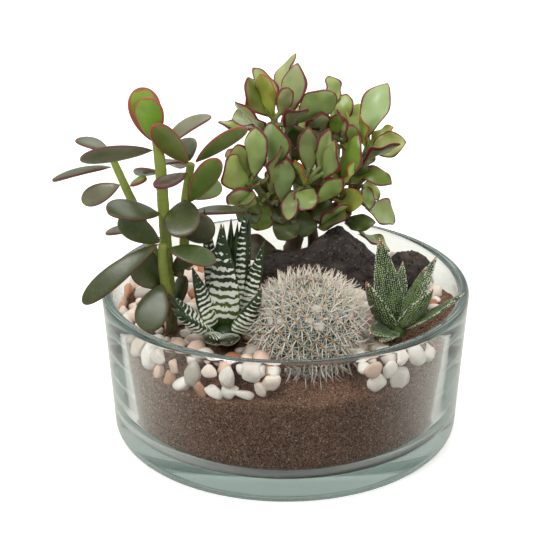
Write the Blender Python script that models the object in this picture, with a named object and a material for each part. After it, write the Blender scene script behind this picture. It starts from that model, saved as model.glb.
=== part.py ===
# A dish garden in a thick glass bowl: sandy soil and pebbles inside, two lava rocks, a jade
# plant, a ripple jade, a globular cactus and two haworthias. The origin is the middle of the
# bowl's flat foot, +Z is up, and the front of the arrangement faces -Y.
import bpy
import bmesh
from math import atan2, cos, degrees, exp, hypot, pi, radians, sin, sqrt
from mathutils import Matrix, Vector, noise

MM = 0.001

# Driving dimensions, in millimetres.
BOWL_HEIGHT = 86
RIM_RADIUS = 100
FOOT_RADIUS = 95
FOOT_CORNER = 9
LIP_RADIUS = 3
INNER_TOP_RADIUS = 91.5
THROAT_HEIGHT = 77
INNER_FOOT_RADIUS = 87
INNER_CORNER = 16
FLOOR_THICKNESS = 10
BOWL_SIDES = 48
SEAT_GAP = 0.3
BED_GAP = 0.7

BED_RADIUS = 88.9
SOIL_WALL_HEIGHT = 66
SOIL_MOUND = 9
PEBBLE_TOP = 77
PEBBLE_COUNT = 150
PEBBLE_REACH = 83
PEBBLE_HALF = 6.2

CACTUS_CENTRE = (12, -47, 80)
CACTUS_RADIUS = 28
LARGE_ROCK_CENTRE = (19, 16, 85)
SMALL_ROCK_CENTRE = (69, 16, 84)
ZEBRA_CROWN = (-31, -45, 77)
PEARL_CROWN = (58, -38, 77)
ZEBRA_CORE_RADIUS = 9
PEARL_CORE_RADIUS = 7

# How each kind of leaf is shaped: fullness of its base and tip, thickness, how far the margins
# rise into a channel, and the height and number of the waves along the margin.
JADE_FORM = {"base": 0.85, "tip": 0.5, "thick": 3.2, "channel": 0.05, "wave": 0.0, "waves": 0}
RIPPLE_FORM = {"base": 1.15, "tip": 0.75, "thick": 2.4, "channel": 0.12, "wave": 0.7, "waves": 1.5}
ZEBRA_FORM = {"base": 0.22, "tip": 0.95, "thick": 5.5, "channel": 0.04, "wave": 0.0, "waves": 0}
PEARL_FORM = {"base": 0.25, "tip": 0.8, "thick": 4.0, "channel": 0.10, "wave": 0.0, "waves": 0}

# Where nothing but the plants and rocks stands: centre and radius.
PLANTED = [
    (12, -47, 31), (-60, -37, 8), (-31, -45, 14), (58, -38, 12), (3, 40, 9), (17, 46, 8),
    (-2, 18, 17), (19, 16, 19), (40, 14, 18), (69, 16, 15),
]


def clear_scene():
    for item in list(bpy.data.objects):
        bpy.data.objects.remove(item, do_unlink=True)


def material(name, colour, roughness, metallic=0.0, transmission=0.0):
    made = bpy.data.materials.new(name)
    made.use_nodes = True
    shader = made.node_tree.nodes["Principled BSDF"]
    shader.inputs["Base Color"].default_value = (*colour, 1.0)
    shader.inputs["Roughness"].default_value = roughness
    shader.inputs["Metallic"].default_value = metallic
    shader.inputs["Transmission Weight"].default_value = transmission
    made.diffuse_color = (*colour, 1.0)
    return made


def finish_object(name, bm, finish, smooth_angle=50):
    """Turn a bmesh worked in millimetres into an object in metres."""
    bmesh.ops.scale(bm, vec=(MM, MM, MM), verts=bm.verts)
    bmesh.ops.recalc_face_normals(bm, faces=bm.faces)
    mesh = bpy.data.meshes.new(name)
    bm.to_mesh(mesh)
    bm.free()
    mesh.materials.append(finish)
    mesh.shade_smooth()
    mesh.set_sharp_from_angle(angle=radians(smooth_angle))
    made = bpy.data.objects.new(name, mesh)
    bpy.context.scene.collection.objects.link(made)
    return made


def hide_tool(tool):
    tool.hide_render = True
    tool.display_type = "WIRE"


def boolean(target, tool, operation, own_parts=False):
    step = target.modifiers.new(operation.title(), "BOOLEAN")
    step.operation = operation
    step.solver = "EXACT"
    step.object = tool
    step.use_self = own_parts
    hide_tool(tool)


def arc(centre_radius, centre_height, radius, start, end, steps):
    """Points of a profile's round stretch, as (radius, height), angles in degrees."""
    points = []
    for step in range(steps + 1):
        angle = radians(start + (end - start) * step / steps)
        points.append((centre_radius + radius * cos(angle), centre_height + radius * sin(angle)))
    return points


def turn(bm, profile):
    """Spin a profile of (radius, height) points once round Z and close its two ends."""
    chain = [bm.verts.new((radius, 0, height)) for radius, height in profile]
    edges = [bm.edges.new(pair) for pair in zip(chain, chain[1:])]
    bmesh.ops.spin(bm, geom=chain + edges, axis=(0, 0, 1), cent=(0, 0, 0), angle=2 * pi,
                   steps=BOWL_SIDES, use_merge=True)
    bmesh.ops.remove_doubles(bm, verts=bm.verts, dist=0.001)
    bmesh.ops.holes_fill(bm, edges=bm.edges, sides=0)


# ---------------------------------------------------------------- bowl, soil and pebbles

def glass_bowl(finish):
    lip = arc(RIM_RADIUS - LIP_RADIUS, BOWL_HEIGHT - LIP_RADIUS, LIP_RADIUS, 0, 180, 4)
    foot = arc(FOOT_RADIUS - FOOT_CORNER, FOOT_CORNER, FOOT_CORNER, -90, 0, 3)
    corner_centre = INNER_FOOT_RADIUS - INNER_CORNER
    bend = arc(corner_centre, FLOOR_THICKNESS + INNER_CORNER, INNER_CORNER, 0, -90, 4)
    throat = [(INNER_TOP_RADIUS, THROAT_HEIGHT)]
    bm = bmesh.new()
    turn(bm, foot + lip + throat + bend)
    return finish_object("glass_bowl", bm, finish)


def bump_at(x, y, centre, spread):
    """A smooth hump of height 1 round a compass direction near the wall."""
    away = abs((degrees(atan2(y, x)) - centre + 180) % 360 - 180)
    reach = min(hypot(x, y) / 80, 1) ** 2
    return reach * max(0.0, cos(min(away / spread, 1) * pi / 2)) ** 2


def soil_height(x, y):
    inward = 1 - (hypot(x, y) / 92) ** 2
    height = SOIL_WALL_HEIGHT + SOIL_MOUND * inward
    height -= 9 * bump_at(x, y, -120, 50)
    height -= 8 * bump_at(x, y, -78, 26)
    height -= 9 * bump_at(x, y, -50, 28)
    height += 8 * bump_at(x, y, -5, 40)
    return height + 0.8 * noise.noise(Vector((x, y, 0)) / 14)


def pebble_height(x, y):
    inward = 1 - (hypot(x, y) / 92) ** 2
    bed = PEBBLE_TOP - 4 + 3 * inward - 4 * bump_at(x, y, 90, 110) - 20 * bump_at(x, y, -78, 22)
    for crown in (ZEBRA_CROWN, PEARL_CROWN):
        away = hypot(x - crown[0], y - crown[1])
        bed -= 7 * max(0.0, cos(min(away / 30, 1) * pi / 2)) ** 2
    return max(bed, soil_height(x, y) + 1.5)


def bare_ground(x, y):
    """True where the soil shows: in front of the cactus and at the right wall."""
    angle, reach = degrees(atan2(y, x)), hypot(x, y)
    return reach > 55 and (-94 < angle < -62 or -32 < angle < 16)


def large_pebbles():
    """Centre and size of the large pebbles, laid out as seeds sit in a sunflower."""
    for index in range(PEBBLE_COUNT):
        reach = PEBBLE_REACH * sqrt((index + 0.5) / PEBBLE_COUNT)
        angle = radians(137.508) * index
        x, y = reach * cos(angle), reach * sin(angle)
        x, y = (x + 3 * noise.noise(Vector((x, y, 1)) / 7), y + 3 * noise.noise(Vector((x, y, 2)) / 7))
        planted = any(hypot(x - spot[0], y - spot[1]) < spot[2] for spot in PLANTED)
        if planted or bare_ground(x, y):
            continue
        size = PEBBLE_HALF * (1 + 0.35 * noise.noise(Vector((x, y, 7)) / 3))
        low = soil_height(x, y) + BED_GAP + 0.36 * size
        yield Vector((x, y, max(pebble_height(x, y) - 0.4, low))), size, index


def pebble_bmesh(centre, size, index, detail):
    """A tumbled chip, broader than it is high."""
    bm = bmesh.new()
    bmesh.ops.create_icosphere(bm, subdivisions=detail, radius=1)
    facing = Matrix.Rotation(2.4 * index, 3, "Z") @ Matrix.Rotation(0.3 * sin(5 * index), 3, "X")
    for vert in bm.verts:
        swell = 1 + 0.18 * noise.noise(vert.co * 1.2 + Vector((index, 0.7 * index, 3)))
        local = Vector((vert.co.x, vert.co.y * 0.78, vert.co.z * 0.62)) * size * swell
        vert.co = centre + facing @ local
        vert.co.z = max(vert.co.z, soil_height(vert.co.x, vert.co.y) + BED_GAP + 0.1)
    return bm


def shape_top(bm, heights, below):
    """Lift every point above a height to the surface given by the function."""
    for vert in bm.verts:
        if vert.co.z > below:
            vert.co.z = heights(vert.co.x, vert.co.y)


def fine_top(radius, rings, height):
    return [(radius * (1 - step / rings), height) for step in range(rings)]


def soil(finish):
    corner = INNER_CORNER - SEAT_GAP
    corner_centre = INNER_FOOT_RADIUS - INNER_CORNER
    bend = arc(corner_centre, FLOOR_THICKNESS + INNER_CORNER, corner, -90, 0, 4)
    bm = bmesh.new()
    turn(bm, bend + fine_top(BED_RADIUS, 6, 200))
    shape_top(bm, soil_height, 150)
    return finish_object("soil", bm, finish)


def pebble_bed(finish):
    under = [(BED_RADIUS * step / 5, 100) for step in range(1, 6)]
    over = fine_top(BED_RADIUS, 7, 200)
    bm = bmesh.new()
    turn(bm, under + over)
    for vert in bm.verts:
        x, y, level = vert.co
        if level > 150:
            vert.co.z = pebble_height(x, y)
        else:
            vert.co.z = soil_height(x, y) + BED_GAP
    bed = finish_object("pebble_bed", bm, finish)
    pile = bmesh.new()
    for centre, size, index in large_pebbles():
        add_to(pile, pebble_bmesh(centre, size, index, 1))
    boolean(bed, finish_object("pebble_pile", pile, finish), "UNION", own_parts=True)
    return bed


# ---------------------------------------------------------------- rocks and cactus

def rock_bmesh(centre, half_sizes, turn_degrees, crest, roughness, detail, grow=0.0):
    """A rough stone. Crest is where its top is highest along its own X, how far that part
    reaches, and how high the rest and the crest are against a plain oval stone."""
    spot, reach, low, high = crest
    bm = bmesh.new()
    bmesh.ops.create_icosphere(bm, subdivisions=detail, radius=1)
    facing = Matrix.Rotation(radians(turn_degrees), 3, "Z")
    for vert in bm.verts:
        way = vert.co.normalized()
        swell = 1 + roughness * noise.fractal(way * 1.7 + Vector(centre) * 0.05, 0.9, 2.1, 3)
        place = Vector([way[i] * (half_sizes[i] * swell + grow) for i in range(3)])
        if place.z > 0:
            place.z *= low + (high - low) * exp(-((place.x - spot) / reach) ** 2)
        vert.co = facing @ place + Vector(centre)
        vert.co.z = max(vert.co.z, centre[2] - half_sizes[2] * 0.55 - grow)
    return bm


ROCKS = {
    "lava_rock_large": (LARGE_ROCK_CENTRE, (36, 16, 22), -5, (13, 16, 0.45, 1.25), 0.22, 3),
    "lava_rock_small": (SMALL_ROCK_CENTRE, (12, 10, 14), 20, (0, 9, 0.8, 1.0), 0.22, 2),
}


def cactus_bmesh(grow=0.0):
    bm = bmesh.new()
    bmesh.ops.create_icosphere(bm, subdivisions=3, radius=CACTUS_RADIUS + grow)
    for vert in bm.verts:
        dimple = max(0.0, vert.co.z / CACTUS_RADIUS - 0.9)
        vert.co.z = vert.co.z * 0.96 - 12 * dimple
    bmesh.ops.translate(bm, verts=bm.verts, vec=CACTUS_CENTRE)
    return bm


# ---------------------------------------------------------------- leaves and stems

def leaf_bmesh(base, heading, rise, length, width, roll, bend, form, rings, sides):
    """One leaf. Angles are in degrees; bend is how far the blade turns up by its tip."""
    heading, rise = radians(heading), radians(rise)
    forward = Vector((cos(heading) * cos(rise), sin(heading) * cos(rise), sin(rise)))
    side = Vector((-sin(heading), cos(heading), 0))
    face = forward.cross(side)
    twist = Matrix.Rotation(radians(roll), 3, forward)
    side, face = twist @ side, twist @ face
    peak = form["base"] / (form["base"] + form["tip"])
    fullest = peak ** form["base"] * (1 - peak) ** form["tip"]
    bend = radians(bend) or 1e-4
    bm = bmesh.new()
    bmesh.ops.create_uvsphere(bm, u_segments=sides, v_segments=rings, radius=1)
    for vert in bm.verts:
        along = min(max((1 + vert.co.z) / 2, 0.0), 1.0)
        around = sqrt(max(1 - vert.co.z ** 2, 1e-12))
        across, depth = vert.co.x / around, vert.co.y / around
        blade = along ** form["base"] * (1 - along) ** form["tip"] / fullest
        across_mm = width / 2 * blade * across
        body = form["thick"] / 2 * min(1.0, 1.6 * sin(pi * min(along, 0.5)) + 0.25)
        depth_mm = body * sqrt(max(blade, 0.0)) * depth * (1.0 if blade > 0 else 0.0)
        depth_mm += form["channel"] * width * blade * across ** 2
        ripple = sin(2 * pi * form["waves"] * along + across)
        depth_mm += form["wave"] * ripple * abs(across) ** 1.5 * blade
        turned = bend * along
        reach = length / bend * sin(turned)
        lift = length / bend * (1 - cos(turned))
        upright = face * cos(turned) - forward * sin(turned)
        vert.co = Vector(base) + forward * reach + face * lift
        vert.co += side * across_mm + upright * depth_mm
    return bm


def curve_point(points, share):
    """A point on the smooth curve through the points, share running from 0 to 1."""
    spans = len(points) - 1
    index = min(int(share * spans), spans - 1)
    local = share * spans - index
    ends = [Vector(points[min(max(index + step, 0), spans)]) for step in (-1, 0, 1, 2)]
    a, b, c, d = ends
    return 0.5 * (2 * b + (c - a) * local + (2 * a - 5 * b + 4 * c - d) * local ** 2
                  + (3 * b - a - 3 * c + d) * local ** 3)


def add_to(bm, piece):
    """Add a finished bmesh to another."""
    mesh = bpy.data.meshes.new("piece")
    piece.to_mesh(mesh)
    piece.free()
    bm.from_mesh(mesh)
    bpy.data.meshes.remove(mesh)


def radius_at(radii, share):
    spot = share * (len(radii) - 1)
    index = min(int(spot), len(radii) - 2)
    return radii[index] + (radii[index + 1] - radii[index]) * (spot - index)


def tube_bmesh(points, radii, sides=8, cuts=4, grow=0.0):
    """A round stem along the points, its radius running through the given radii."""
    points = [Vector(points[0]) - Vector((0, 0, grow))] + points[1:]
    bm = bmesh.new()
    bmesh.ops.create_cone(bm, cap_ends=True, segments=sides, radius1=1, radius2=1, depth=1)
    uprights = [edge for edge in bm.edges if abs(edge.verts[0].co.z - edge.verts[1].co.z) > 0.5]
    bmesh.ops.subdivide_edges(bm, edges=uprights, cuts=cuts * (len(points) - 1) - 1)
    for vert in bm.verts:
        share = min(max(vert.co.z + 0.5, 0.0), 1.0)
        before = curve_point(points, max(share - 0.02, 0))
        ahead = (curve_point(points, min(share + 0.02, 1)) - before).normalized()
        right = ahead.cross(Vector((0, 1, 0.1))).normalized()
        front = right.cross(ahead)
        radius = radius_at(radii, share) + grow
        vert.co = curve_point(points, share) + (right * vert.co.x - front * vert.co.y) * radius
    return bm


# Jade plant. Each stem is a list of points and the radii along it.
JADE_STEMS = {
    "main": ([(-60, -37, 72), (-61, -38, 100), (-62, -39, 124), (-63, -40, 150), (-64, -41, 172),
              (-66, -41, 182)], (3.2, 3.1, 3.0, 3.0, 2.9, 1.7)),
    "front": ([(-61.8, -44.1, 99), (-62.7, -46, 107), (-63.2, -49, 118), (-63, -51, 130)],
              (2.8, 2.6, 2.6, 2.2)),
    "left": ([(-65.9, -35.6, 112), (-70, -33, 121), (-75, -32, 136), (-80, -32, 147),
              (-90, -30, 171)], (2.4, 2.4, 2.4, 2.3, 1.8)),
    "right": ([(-55.4, -35.4, 109), (-53.2, -32, 118), (-52.8, -30, 131), (-51.8, -31, 147),
               (-48.5, -32, 167)], (2.6, 2.6, 2.5, 2.4, 2.1)),
}

# Jade leaves: name, stem, height on it, heading, rise, length, width, roll, bend.
JADE_LEAVES = [
    ("top_front", "main", 182, -115, 75, 25, 15, 15, 10),
    ("top_back", "main", 181, 145, 75, 28, 17, -35, -8),
    ("top_left", "main", 177, -160, 0, 38, 16, 50, 0),
    ("top_right", "main", 176, 35, 45, 32, 15, -5, -40),
    ("mid_left", "main", 164, 120, -15, 26, 9, 30, -10),
    ("mid_right", "main", 168, 72, -5, 27, 13, 0, -35),
    ("dark_left", "main", 143, -130, 25, 36, 19, -20, -20),
    ("far_left", "left", 130, 165, -5, 20, 12, 0, -15),
    ("dark_low", "main", 109, -18, 44, 16, 12, -50, 0),
    ("gloss", "right", 167, -125, 45, 38, 12, 60, 5),
    ("red_edge", "right", 167, -15, 40, 35, 14, -40, -5),
    ("behind", "right", 167, 110, 20, 20, 15, -20, -15),
    ("maroon", "right", 162, -115, 5, 36, 9, -20, 5),
    ("green", "right", 145, -35, 55, 33, 13, -50, 5),
    ("pale", "right", 146, 40, 15, 21, 14, 35, -10),
    ("oval", "right", 147, -95, -15, 25, 19, 10, -30),
    ("brown_right", "main", 138, 3, -18, 24, 18, -80, -10),
    ("edge_right", "right", 137, 35, -3, 35, 13, 0, -12),
    ("curve_left", "left", 164, 175, -5, 33, 10, 0, -20),
    ("down_left", "left", 157, 175, -25, 23, 11, -60, -5),
    ("small_right", "left", 155, 10, 30, 10, 8, 0, -10),
    ("tip_left", "left", 172, 145, 15, 21, 12, 0, -15),
    ("front_oval", "front", 131, -165, 35, 25, 14, -100, -15),
    ("front_right", "front", 127, -15, -5, 26, 13, 25, -15),
    ("front_grey", "front", 130, -155, -25, 50, 12, -40, -30),
    ("front_low", "front", 106, -120, -50, 26, 18, -10, -5),
    ("front_olive", "front", 102, 175, 50, 23, 20, -40, 15),
    ("ground_brown", "main", 86, 35, 72, 19, 10, 10, 0),
]

# Ripple jade: trunk and branches as points with radii.
RIPPLE_STEMS = [
    ([(3, 40, 70), (3, 40, 84), (6, 41, 99), (2, 38, 116), (-6, 35, 138), (-6, 35, 170)],
     (5.2, 4.9, 4.4, 3.4, 2.6, 1.8)),
    ([(5, 42, 70), (14, 46, 79), (16, 46, 90), (15, 45, 104), (16, 43, 122), (22, 46, 140),
      (27, 50, 155)],
     (3.4, 3.4, 3.2, 2.9, 2.7, 2.3, 1.8)),
    ([(5, 41, 98), (-4, 36, 110), (-10, 31, 122), (-18, 26, 134)], (3.2, 2.7, 2.3, 1.8)),
    ([(6, 41, 98), (9, 36, 112), (11, 30, 132)], (3.0, 2.5, 1.8)),
    ([(15, 45, 104), (26, 43, 112), (40, 45, 124), (46, 46, 149)], (2.8, 2.5, 2.2, 1.8)),
    ([(16, 44, 112), (26, 36, 122), (33, 32, 133)], (2.6, 2.2, 1.8)),
    ([(0, 37, 124), (4, 45, 140), (6, 50, 164)], (2.5, 2.1, 1.7)),
    ([(14, 46, 96), (8, 60, 112), (4, 70, 134)], (2.8, 2.4, 1.8)),
    ([(16, 46, 106), (28, 60, 118), (34, 68, 130)], (2.6, 2.2, 1.8)),
]

# Ripple jade leaves on each shoot: base point, heading, rise, length, width, roll, bend.
RIPPLE_LEAVES = {
    "crown_left": [
        ((-6, 40, 169), 155, 70, 28, 16, -15, -20),
        ((-9, 34, 169), -155, 60, 28, 17, 125, -5),
        ((-7, 32, 170), -145, 75, 28, 11, 40, -10),
        ((-3, 32, 170), -50, 70, 21, 10, -35, -10),
        ((-11, 30, 161), -130, 45, 34, 16, -10, 0),
        ((-15, 37, 162), -150, 35, 17, 17, -15, -25),
        ((-16, 40, 160), -165, 10, 23, 7, -25, 15),
    ],
    "crown_top": [
        ((1, 43, 165), -50, 80, 33, 15, -70, 15),
        ((-1, 48, 166), 130, 80, 35, 16, -105, -40),
        ((6, 41, 163), -15, 45, 31, 18, -70, -15),
        ((0, 29, 163), -60, 55, 29, 13, -5, -30),
    ],
    "upper_middle": [
        ((26, 57, 167), 85, 75, 18, 16, 55, -20),
        ((31, 56, 157), 55, 75, 18, 13, 15, -15),
        ((34, 48, 148), -135, 65, 25, 11, -15, 10),
        ((28, 46, 153), -90, 65, 20, 10, 0, -10),
        ((24, 48, 155), -130, 45, 24, 15, 45, -25),
        ((34, 48, 144), 45, 75, 16, 15, 20, -10),
    ],
    "right_top": [
        ((44, 46, 151), 25, 75, 35, 18, 30, -30),
        ((40, 50, 154), 85, 50, 19, 14, 0, -10),
        ((45, 43, 149), -130, 75, 21, 7, -25, -5),
        ((47, 46, 149), -10, 60, 17, 7, 35, -55),
        ((47, 43, 148), -30, 20, 22, 15, 70, -15),
        ((42, 38, 141), -40, 40, 33, 11, -20, -15),
        ((38, 54, 151), 95, 50, 21, 12, 0, -10),
    ],
    "left_front": [
        ((-8, 26, 139), -70, 70, 39, 18, -55, -15),
        ((-17, 20, 138), -85, 70, 36, 14, -25, 5),
        ((-21, 26, 133), -120, 70, 29, 14, 30, -5),
        ((-19, 20, 132), -140, 50, 30, 19, 105, -10),
        ((-9, 21, 135), -55, 65, 28, 14, 35, 0),
        ((-23, 32, 139), -160, 65, 16, 15, 45, -10),
        ((-7, 38, 148), -150, 75, 18, 16, 40, -10),
    ],
    "low_left": [
        ((-14, 24, 119), -130, 35, 34, 15, 55, -10),
        ((-4, 39, 88), -150, 20, 27, 15, -60, -20),
        ((-8, 28, 125), -65, 60, 32, 14, -15, -10),
        ((-12, 32, 122), -110, -55, 18, 17, -20, -25),
        ((-27, 14, 124), -50, 50, 17, 13, 45, -40),
        ((-15, 22, 123), -130, -15, 16, 16, -40, -20),
        ((-13, 24, 125), -135, -10, 13, 14, -30, -20),
        ((3, 36, 130), -160, 65, 19, 15, 45, -10),
        ((-2, 36, 120), -160, 45, 17, 15, 60, -10),
    ],
    "centre_front": [
        ((-2, 26, 120), -80, 70, 37, 13, -5, -10),
        ((13, 28, 137), -95, 70, 35, 12, 15, 0),
        ((11, 25, 132), -105, 50, 30, 8, -35, -5),
        ((4, 24, 131), -100, -35, 19, 10, -5, -25),
        ((16, 26, 131), -120, -20, 17, 14, -20, -25),
        ((9, 42, 146), -140, 70, 19, 15, 35, -10),
        ((17, 44, 145), -35, 85, 17, 15, 50, -10),
        ((8, 38, 122), -35, 40, 16, 15, -60, -10),
    ],
    "right_front": [
        ((18, 28, 138), -60, 70, 32, 10, -10, 0),
        ((20, 22, 137), -70, 60, 32, 16, -90, 5),
        ((32, 30, 129), -25, 85, 32, 14, -110, 30),
        ((32, 25, 134), -40, 50, 16, 9, 10, 30),
        ((25, 38, 125), -20, 65, 18, 15, -55, -10),
    ],
    "low_middle": [
        ((16, 24, 122), -45, 45, 32, 11, -65, -10),
        ((18, 28, 106), -30, 50, 28, 11, -25, -15),
        ((19, 30, 107), -55, 30, 25, 18, 30, -10),
        ((7, 30, 115), -135, -35, 19, 16, -40, -25),
        ((11, 32, 116), -95, -45, 16, 15, 0, -25),
        ((15, 34, 118), -45, -10, 14, 15, 40, -20),
        ((0, 32, 116), -135, -15, 11, 14, -30, -20),
        ((26, 36, 113), -45, 15, 14, 14, 40, -20),
        ((33, 36, 106), -50, 20, 22, 10, 70, -30),
    ],
    "far_right": [
        ((38, 45, 133), -45, 10, 27, 13, 25, -25),
        ((28, 36, 119), -45, 20, 21, 14, 80, -10),
        ((44, 46, 126), -75, -30, 17, 9, -5, -25),
        ((45, 49, 110), 0, -15, 20, 20, 25, -25),
        ((41, 42, 97), -15, -10, 21, 11, 0, -30),
        ((43, 48, 118), 15, 20, 11, 14, 40, -20),
    ],
    "back_left": [
        ((4, 71, 134), 80, 70, 30, 15, 0, -10),
        ((1, 70, 132), 160, 50, 27, 14, 0, -20),
        ((8, 70, 131), 10, 50, 26, 13, 0, -20),
        ((4, 72, 128), 110, 25, 25, 14, 0, -35),
        ((-3, 69, 126), -170, 30, 25, 14, 0, -30),
    ],
    "back_right": [
        ((34, 69, 130), 50, 65, 28, 14, 0, -10),
        ((36, 68, 128), 0, 40, 24, 14, 0, -20),
        ((31, 68, 128), 130, 45, 24, 13, 0, -20),
        ((36, 70, 124), 60, 10, 22, 13, 0, -35),
        ((28, 68, 122), 150, 15, 22, 13, 0, -35),
    ],
}

# Haworthia leaves: heading, rise, length, width, roll, bend, distance out from the middle.
ZEBRA_LEAVES = [
    (110, 86, 61, 17, -35, 4, 1),
    (70, 75, 58, 10, 10, 6, 4),
    (122, 72, 66, 10, -10, 12, 6),
    (60, 75, 69, 9, 20, 8, 5),
    (60, 70, 64, 10, 20, 14, 6),
    (35, 65, 51, 11, 25, 16, 7),
    (-40, 55, 34, 13, -30, 20, 7),
    (170, 65, 39, 13, -30, 16, 5),
    (-172, 40, 34, 13, -15, 14, 7),
    (-145, 35, 33, 11, 15, 14, 8),
    (-115, 15, 22, 12, -15, 16, 7),
    (-85, 15, 22, 13, 5, 18, 7),
    (75, 40, 36, 12, 5, 20, 8),
]
PEARL_LEAVES = [
    (130, 75, 43, 13, -30, 4, 2),
    (-145, 60, 34, 12, 20, 10, 5),
    (0, 70, 37, 10, 40, 6, 4),
    (45, 45, 41, 9, 10, 10, 5),
    (-30, 55, 30, 12, -35, 10, 5),
    (-10, 30, 37, 9, 5, 14, 6),
    (-120, 15, 27, 13, -20, 10, 6),
    (115, 35, 19, 10, -5, 12, 6),
    (80, 40, 35, 9, 0, 12, 5),
    (-110, 5, 24, 9, -10, 12, 6),
]


def jade_leaf_base(stem, level, heading):
    points, radii = JADE_STEMS[stem]
    low, high = points[0][2], points[-1][2]
    share = min(max((level - low) / (high - low), 0), 1)
    for _ in range(12):
        share += (level - curve_point(points, share).z) / (high - low)
        share = min(max(share, 0), 1)
    centre = curve_point(points, share)
    radius = radius_at(radii, share)
    out = Vector((cos(radians(heading)), sin(radians(heading)), 0))
    if level > high:
        return centre + Vector((0, 0, 0.6)) + out * radius * 0.6
    return centre + out * (radius + SEAT_GAP)


def jade_plant(stem_finish, leaf_finish):
    for name, (points, radii) in JADE_STEMS.items():
        finish_object("jade_stem_" + name, tube_bmesh(points, radii, cuts=2), stem_finish)
    for name, stem, level, heading, rise, length, width, roll, bend in JADE_LEAVES:
        base = jade_leaf_base(stem, level, heading)
        leaf = leaf_bmesh(base, heading, rise, length, width, roll, bend, JADE_FORM, 7, 6)
        finish_object("jade_leaf_" + name, leaf, leaf_finish)


def nearest_on_shoots(place):
    """The closest point to a place on the middle lines of the ripple jade's shoots."""
    best = None
    for points, radii in RIPPLE_STEMS:
        for step in range(41):
            spot = curve_point(points, step / 41)
            if best is None or (spot - place).length < (best - place).length:
                best = spot
    return best


def leaf_stalk(start, end):
    """A short four-sided stalk between two points."""
    bm = bmesh.new()
    bmesh.ops.create_cone(bm, cap_ends=True, segments=4, radius1=1.5, radius2=1.2,
                          depth=(end - start).length)
    facing = Vector((0, 0, 1)).rotation_difference(end - start)
    bmesh.ops.rotate(bm, verts=bm.verts, cent=(0, 0, 0), matrix=facing.to_matrix())
    bmesh.ops.translate(bm, verts=bm.verts, vec=(start + end) / 2)
    return bm


def ripple_jade(finish):
    bm = bmesh.new()
    for points, radii in RIPPLE_STEMS[1:]:
        add_to(bm, tube_bmesh(points, radii, sides=7, cuts=1))
    for leaves in RIPPLE_LEAVES.values():
        for base, heading, rise, length, width, roll, bend in leaves:
            leaf = leaf_bmesh(base, heading, rise, length, width, roll, bend, RIPPLE_FORM, 6, 4)
            add_to(bm, leaf)
            tilt, facing = radians(rise), radians(heading)
            forward = Vector((cos(facing) * cos(tilt), sin(facing) * cos(tilt), sin(tilt)))
            inside = Vector(base) + forward * length * 0.16
            root = nearest_on_shoots(Vector(base))
            if (root - Vector(base)).length > 0.4:
                add_to(bm, leaf_stalk(root, inside))
    plant = finish_object("ripple_jade", bm, finish)
    trunk = finish_object("ripple_trunk_core", tube_bmesh(*RIPPLE_STEMS[0], cuts=1), finish)
    boolean(plant, trunk, "UNION", own_parts=True)
    return plant


def core_bmesh(crown, radius):
    bm = bmesh.new()
    bmesh.ops.create_uvsphere(bm, u_segments=12, v_segments=8, radius=radius)
    bmesh.ops.translate(bm, verts=bm.verts, vec=crown)
    return bm


def rosette(name, crown, leaves, form, core_radius, finish):
    bm = bmesh.new()
    for heading, rise, length, width, roll, bend, out in leaves:
        way = Vector((cos(radians(heading)), sin(radians(heading)), 0))
        base = Vector(crown) + way * out
        add_to(bm, leaf_bmesh(base, heading, rise, length, width, roll, bend, form, 7, 6))
    plant = finish_object(name, bm, finish)
    core = finish_object(name + "_core", core_bmesh(crown, core_radius), finish)
    boolean(plant, core, "UNION", own_parts=True)
    return plant


# ---------------------------------------------------------------- build

clear_scene()
glass = material("clear_glass", (0.86, 0.93, 0.91), 0.02, transmission=1.0)
earth = material("sandy_soil", (0.16, 0.10, 0.07), 0.95)
stones = material("pebbles", (0.83, 0.76, 0.68), 0.6)
lava = material("lava_rock", (0.07, 0.06, 0.06), 0.9)
cactus_skin = material("cactus_skin", (0.30, 0.38, 0.30), 0.7)
green_stem = material("green_stem", (0.36, 0.47, 0.14), 0.5)
jade_green = material("jade_green", (0.13, 0.20, 0.07), 0.35)
ripple_green = material("ripple_green", (0.25, 0.36, 0.14), 0.45)
zebra_green = material("zebra_green", (0.05, 0.10, 0.05), 0.45)
pearl_green = material("pearl_green", (0.09, 0.17, 0.05), 0.45)

bowl = glass_bowl(glass)
ground = soil(earth)
crust = pebble_bed(stones)
for rock_name, rock_shape in ROCKS.items():
    finish_object(rock_name, rock_bmesh(*rock_shape), lava)
finish_object("cactus", cactus_bmesh(), cactus_skin)
jade_plant(green_stem, jade_green)
ripple_jade(ripple_green)
rosette("zebra_haworthia", ZEBRA_CROWN, ZEBRA_LEAVES, ZEBRA_FORM, ZEBRA_CORE_RADIUS,
        zebra_green)
rosette("pearl_haworthia", PEARL_CROWN, PEARL_LEAVES, PEARL_FORM, PEARL_CORE_RADIUS,
        pearl_green)

# Room for what is planted, one seat gap wider than each piece.
SEATS = []
for rock_name, rock_shape in ROCKS.items():
    SEATS.append(finish_object(rock_name + "_seat", rock_bmesh(*rock_shape, grow=SEAT_GAP), lava))
SEATS.append(finish_object("cactus_seat", cactus_bmesh(grow=SEAT_GAP), cactus_skin))
for stem_name, (stem_points, stem_radii) in JADE_STEMS.items():
    if stem_points[0][2] < PEBBLE_TOP:
        stem_seat = tube_bmesh(stem_points, stem_radii, cuts=2, grow=SEAT_GAP)
        SEATS.append(finish_object("jade_stem_" + stem_name + "_seat", stem_seat, green_stem))
trunk_seat = tube_bmesh(*RIPPLE_STEMS[0], cuts=1, grow=SEAT_GAP)
SEATS.append(finish_object("ripple_trunk_seat", trunk_seat, ripple_green))
second_seat = tube_bmesh(*RIPPLE_STEMS[1], sides=7, cuts=1, grow=SEAT_GAP)
SEATS.append(finish_object("ripple_second_seat", second_seat, ripple_green))
zebra_seat = core_bmesh(ZEBRA_CROWN, ZEBRA_CORE_RADIUS + SEAT_GAP)
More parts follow.
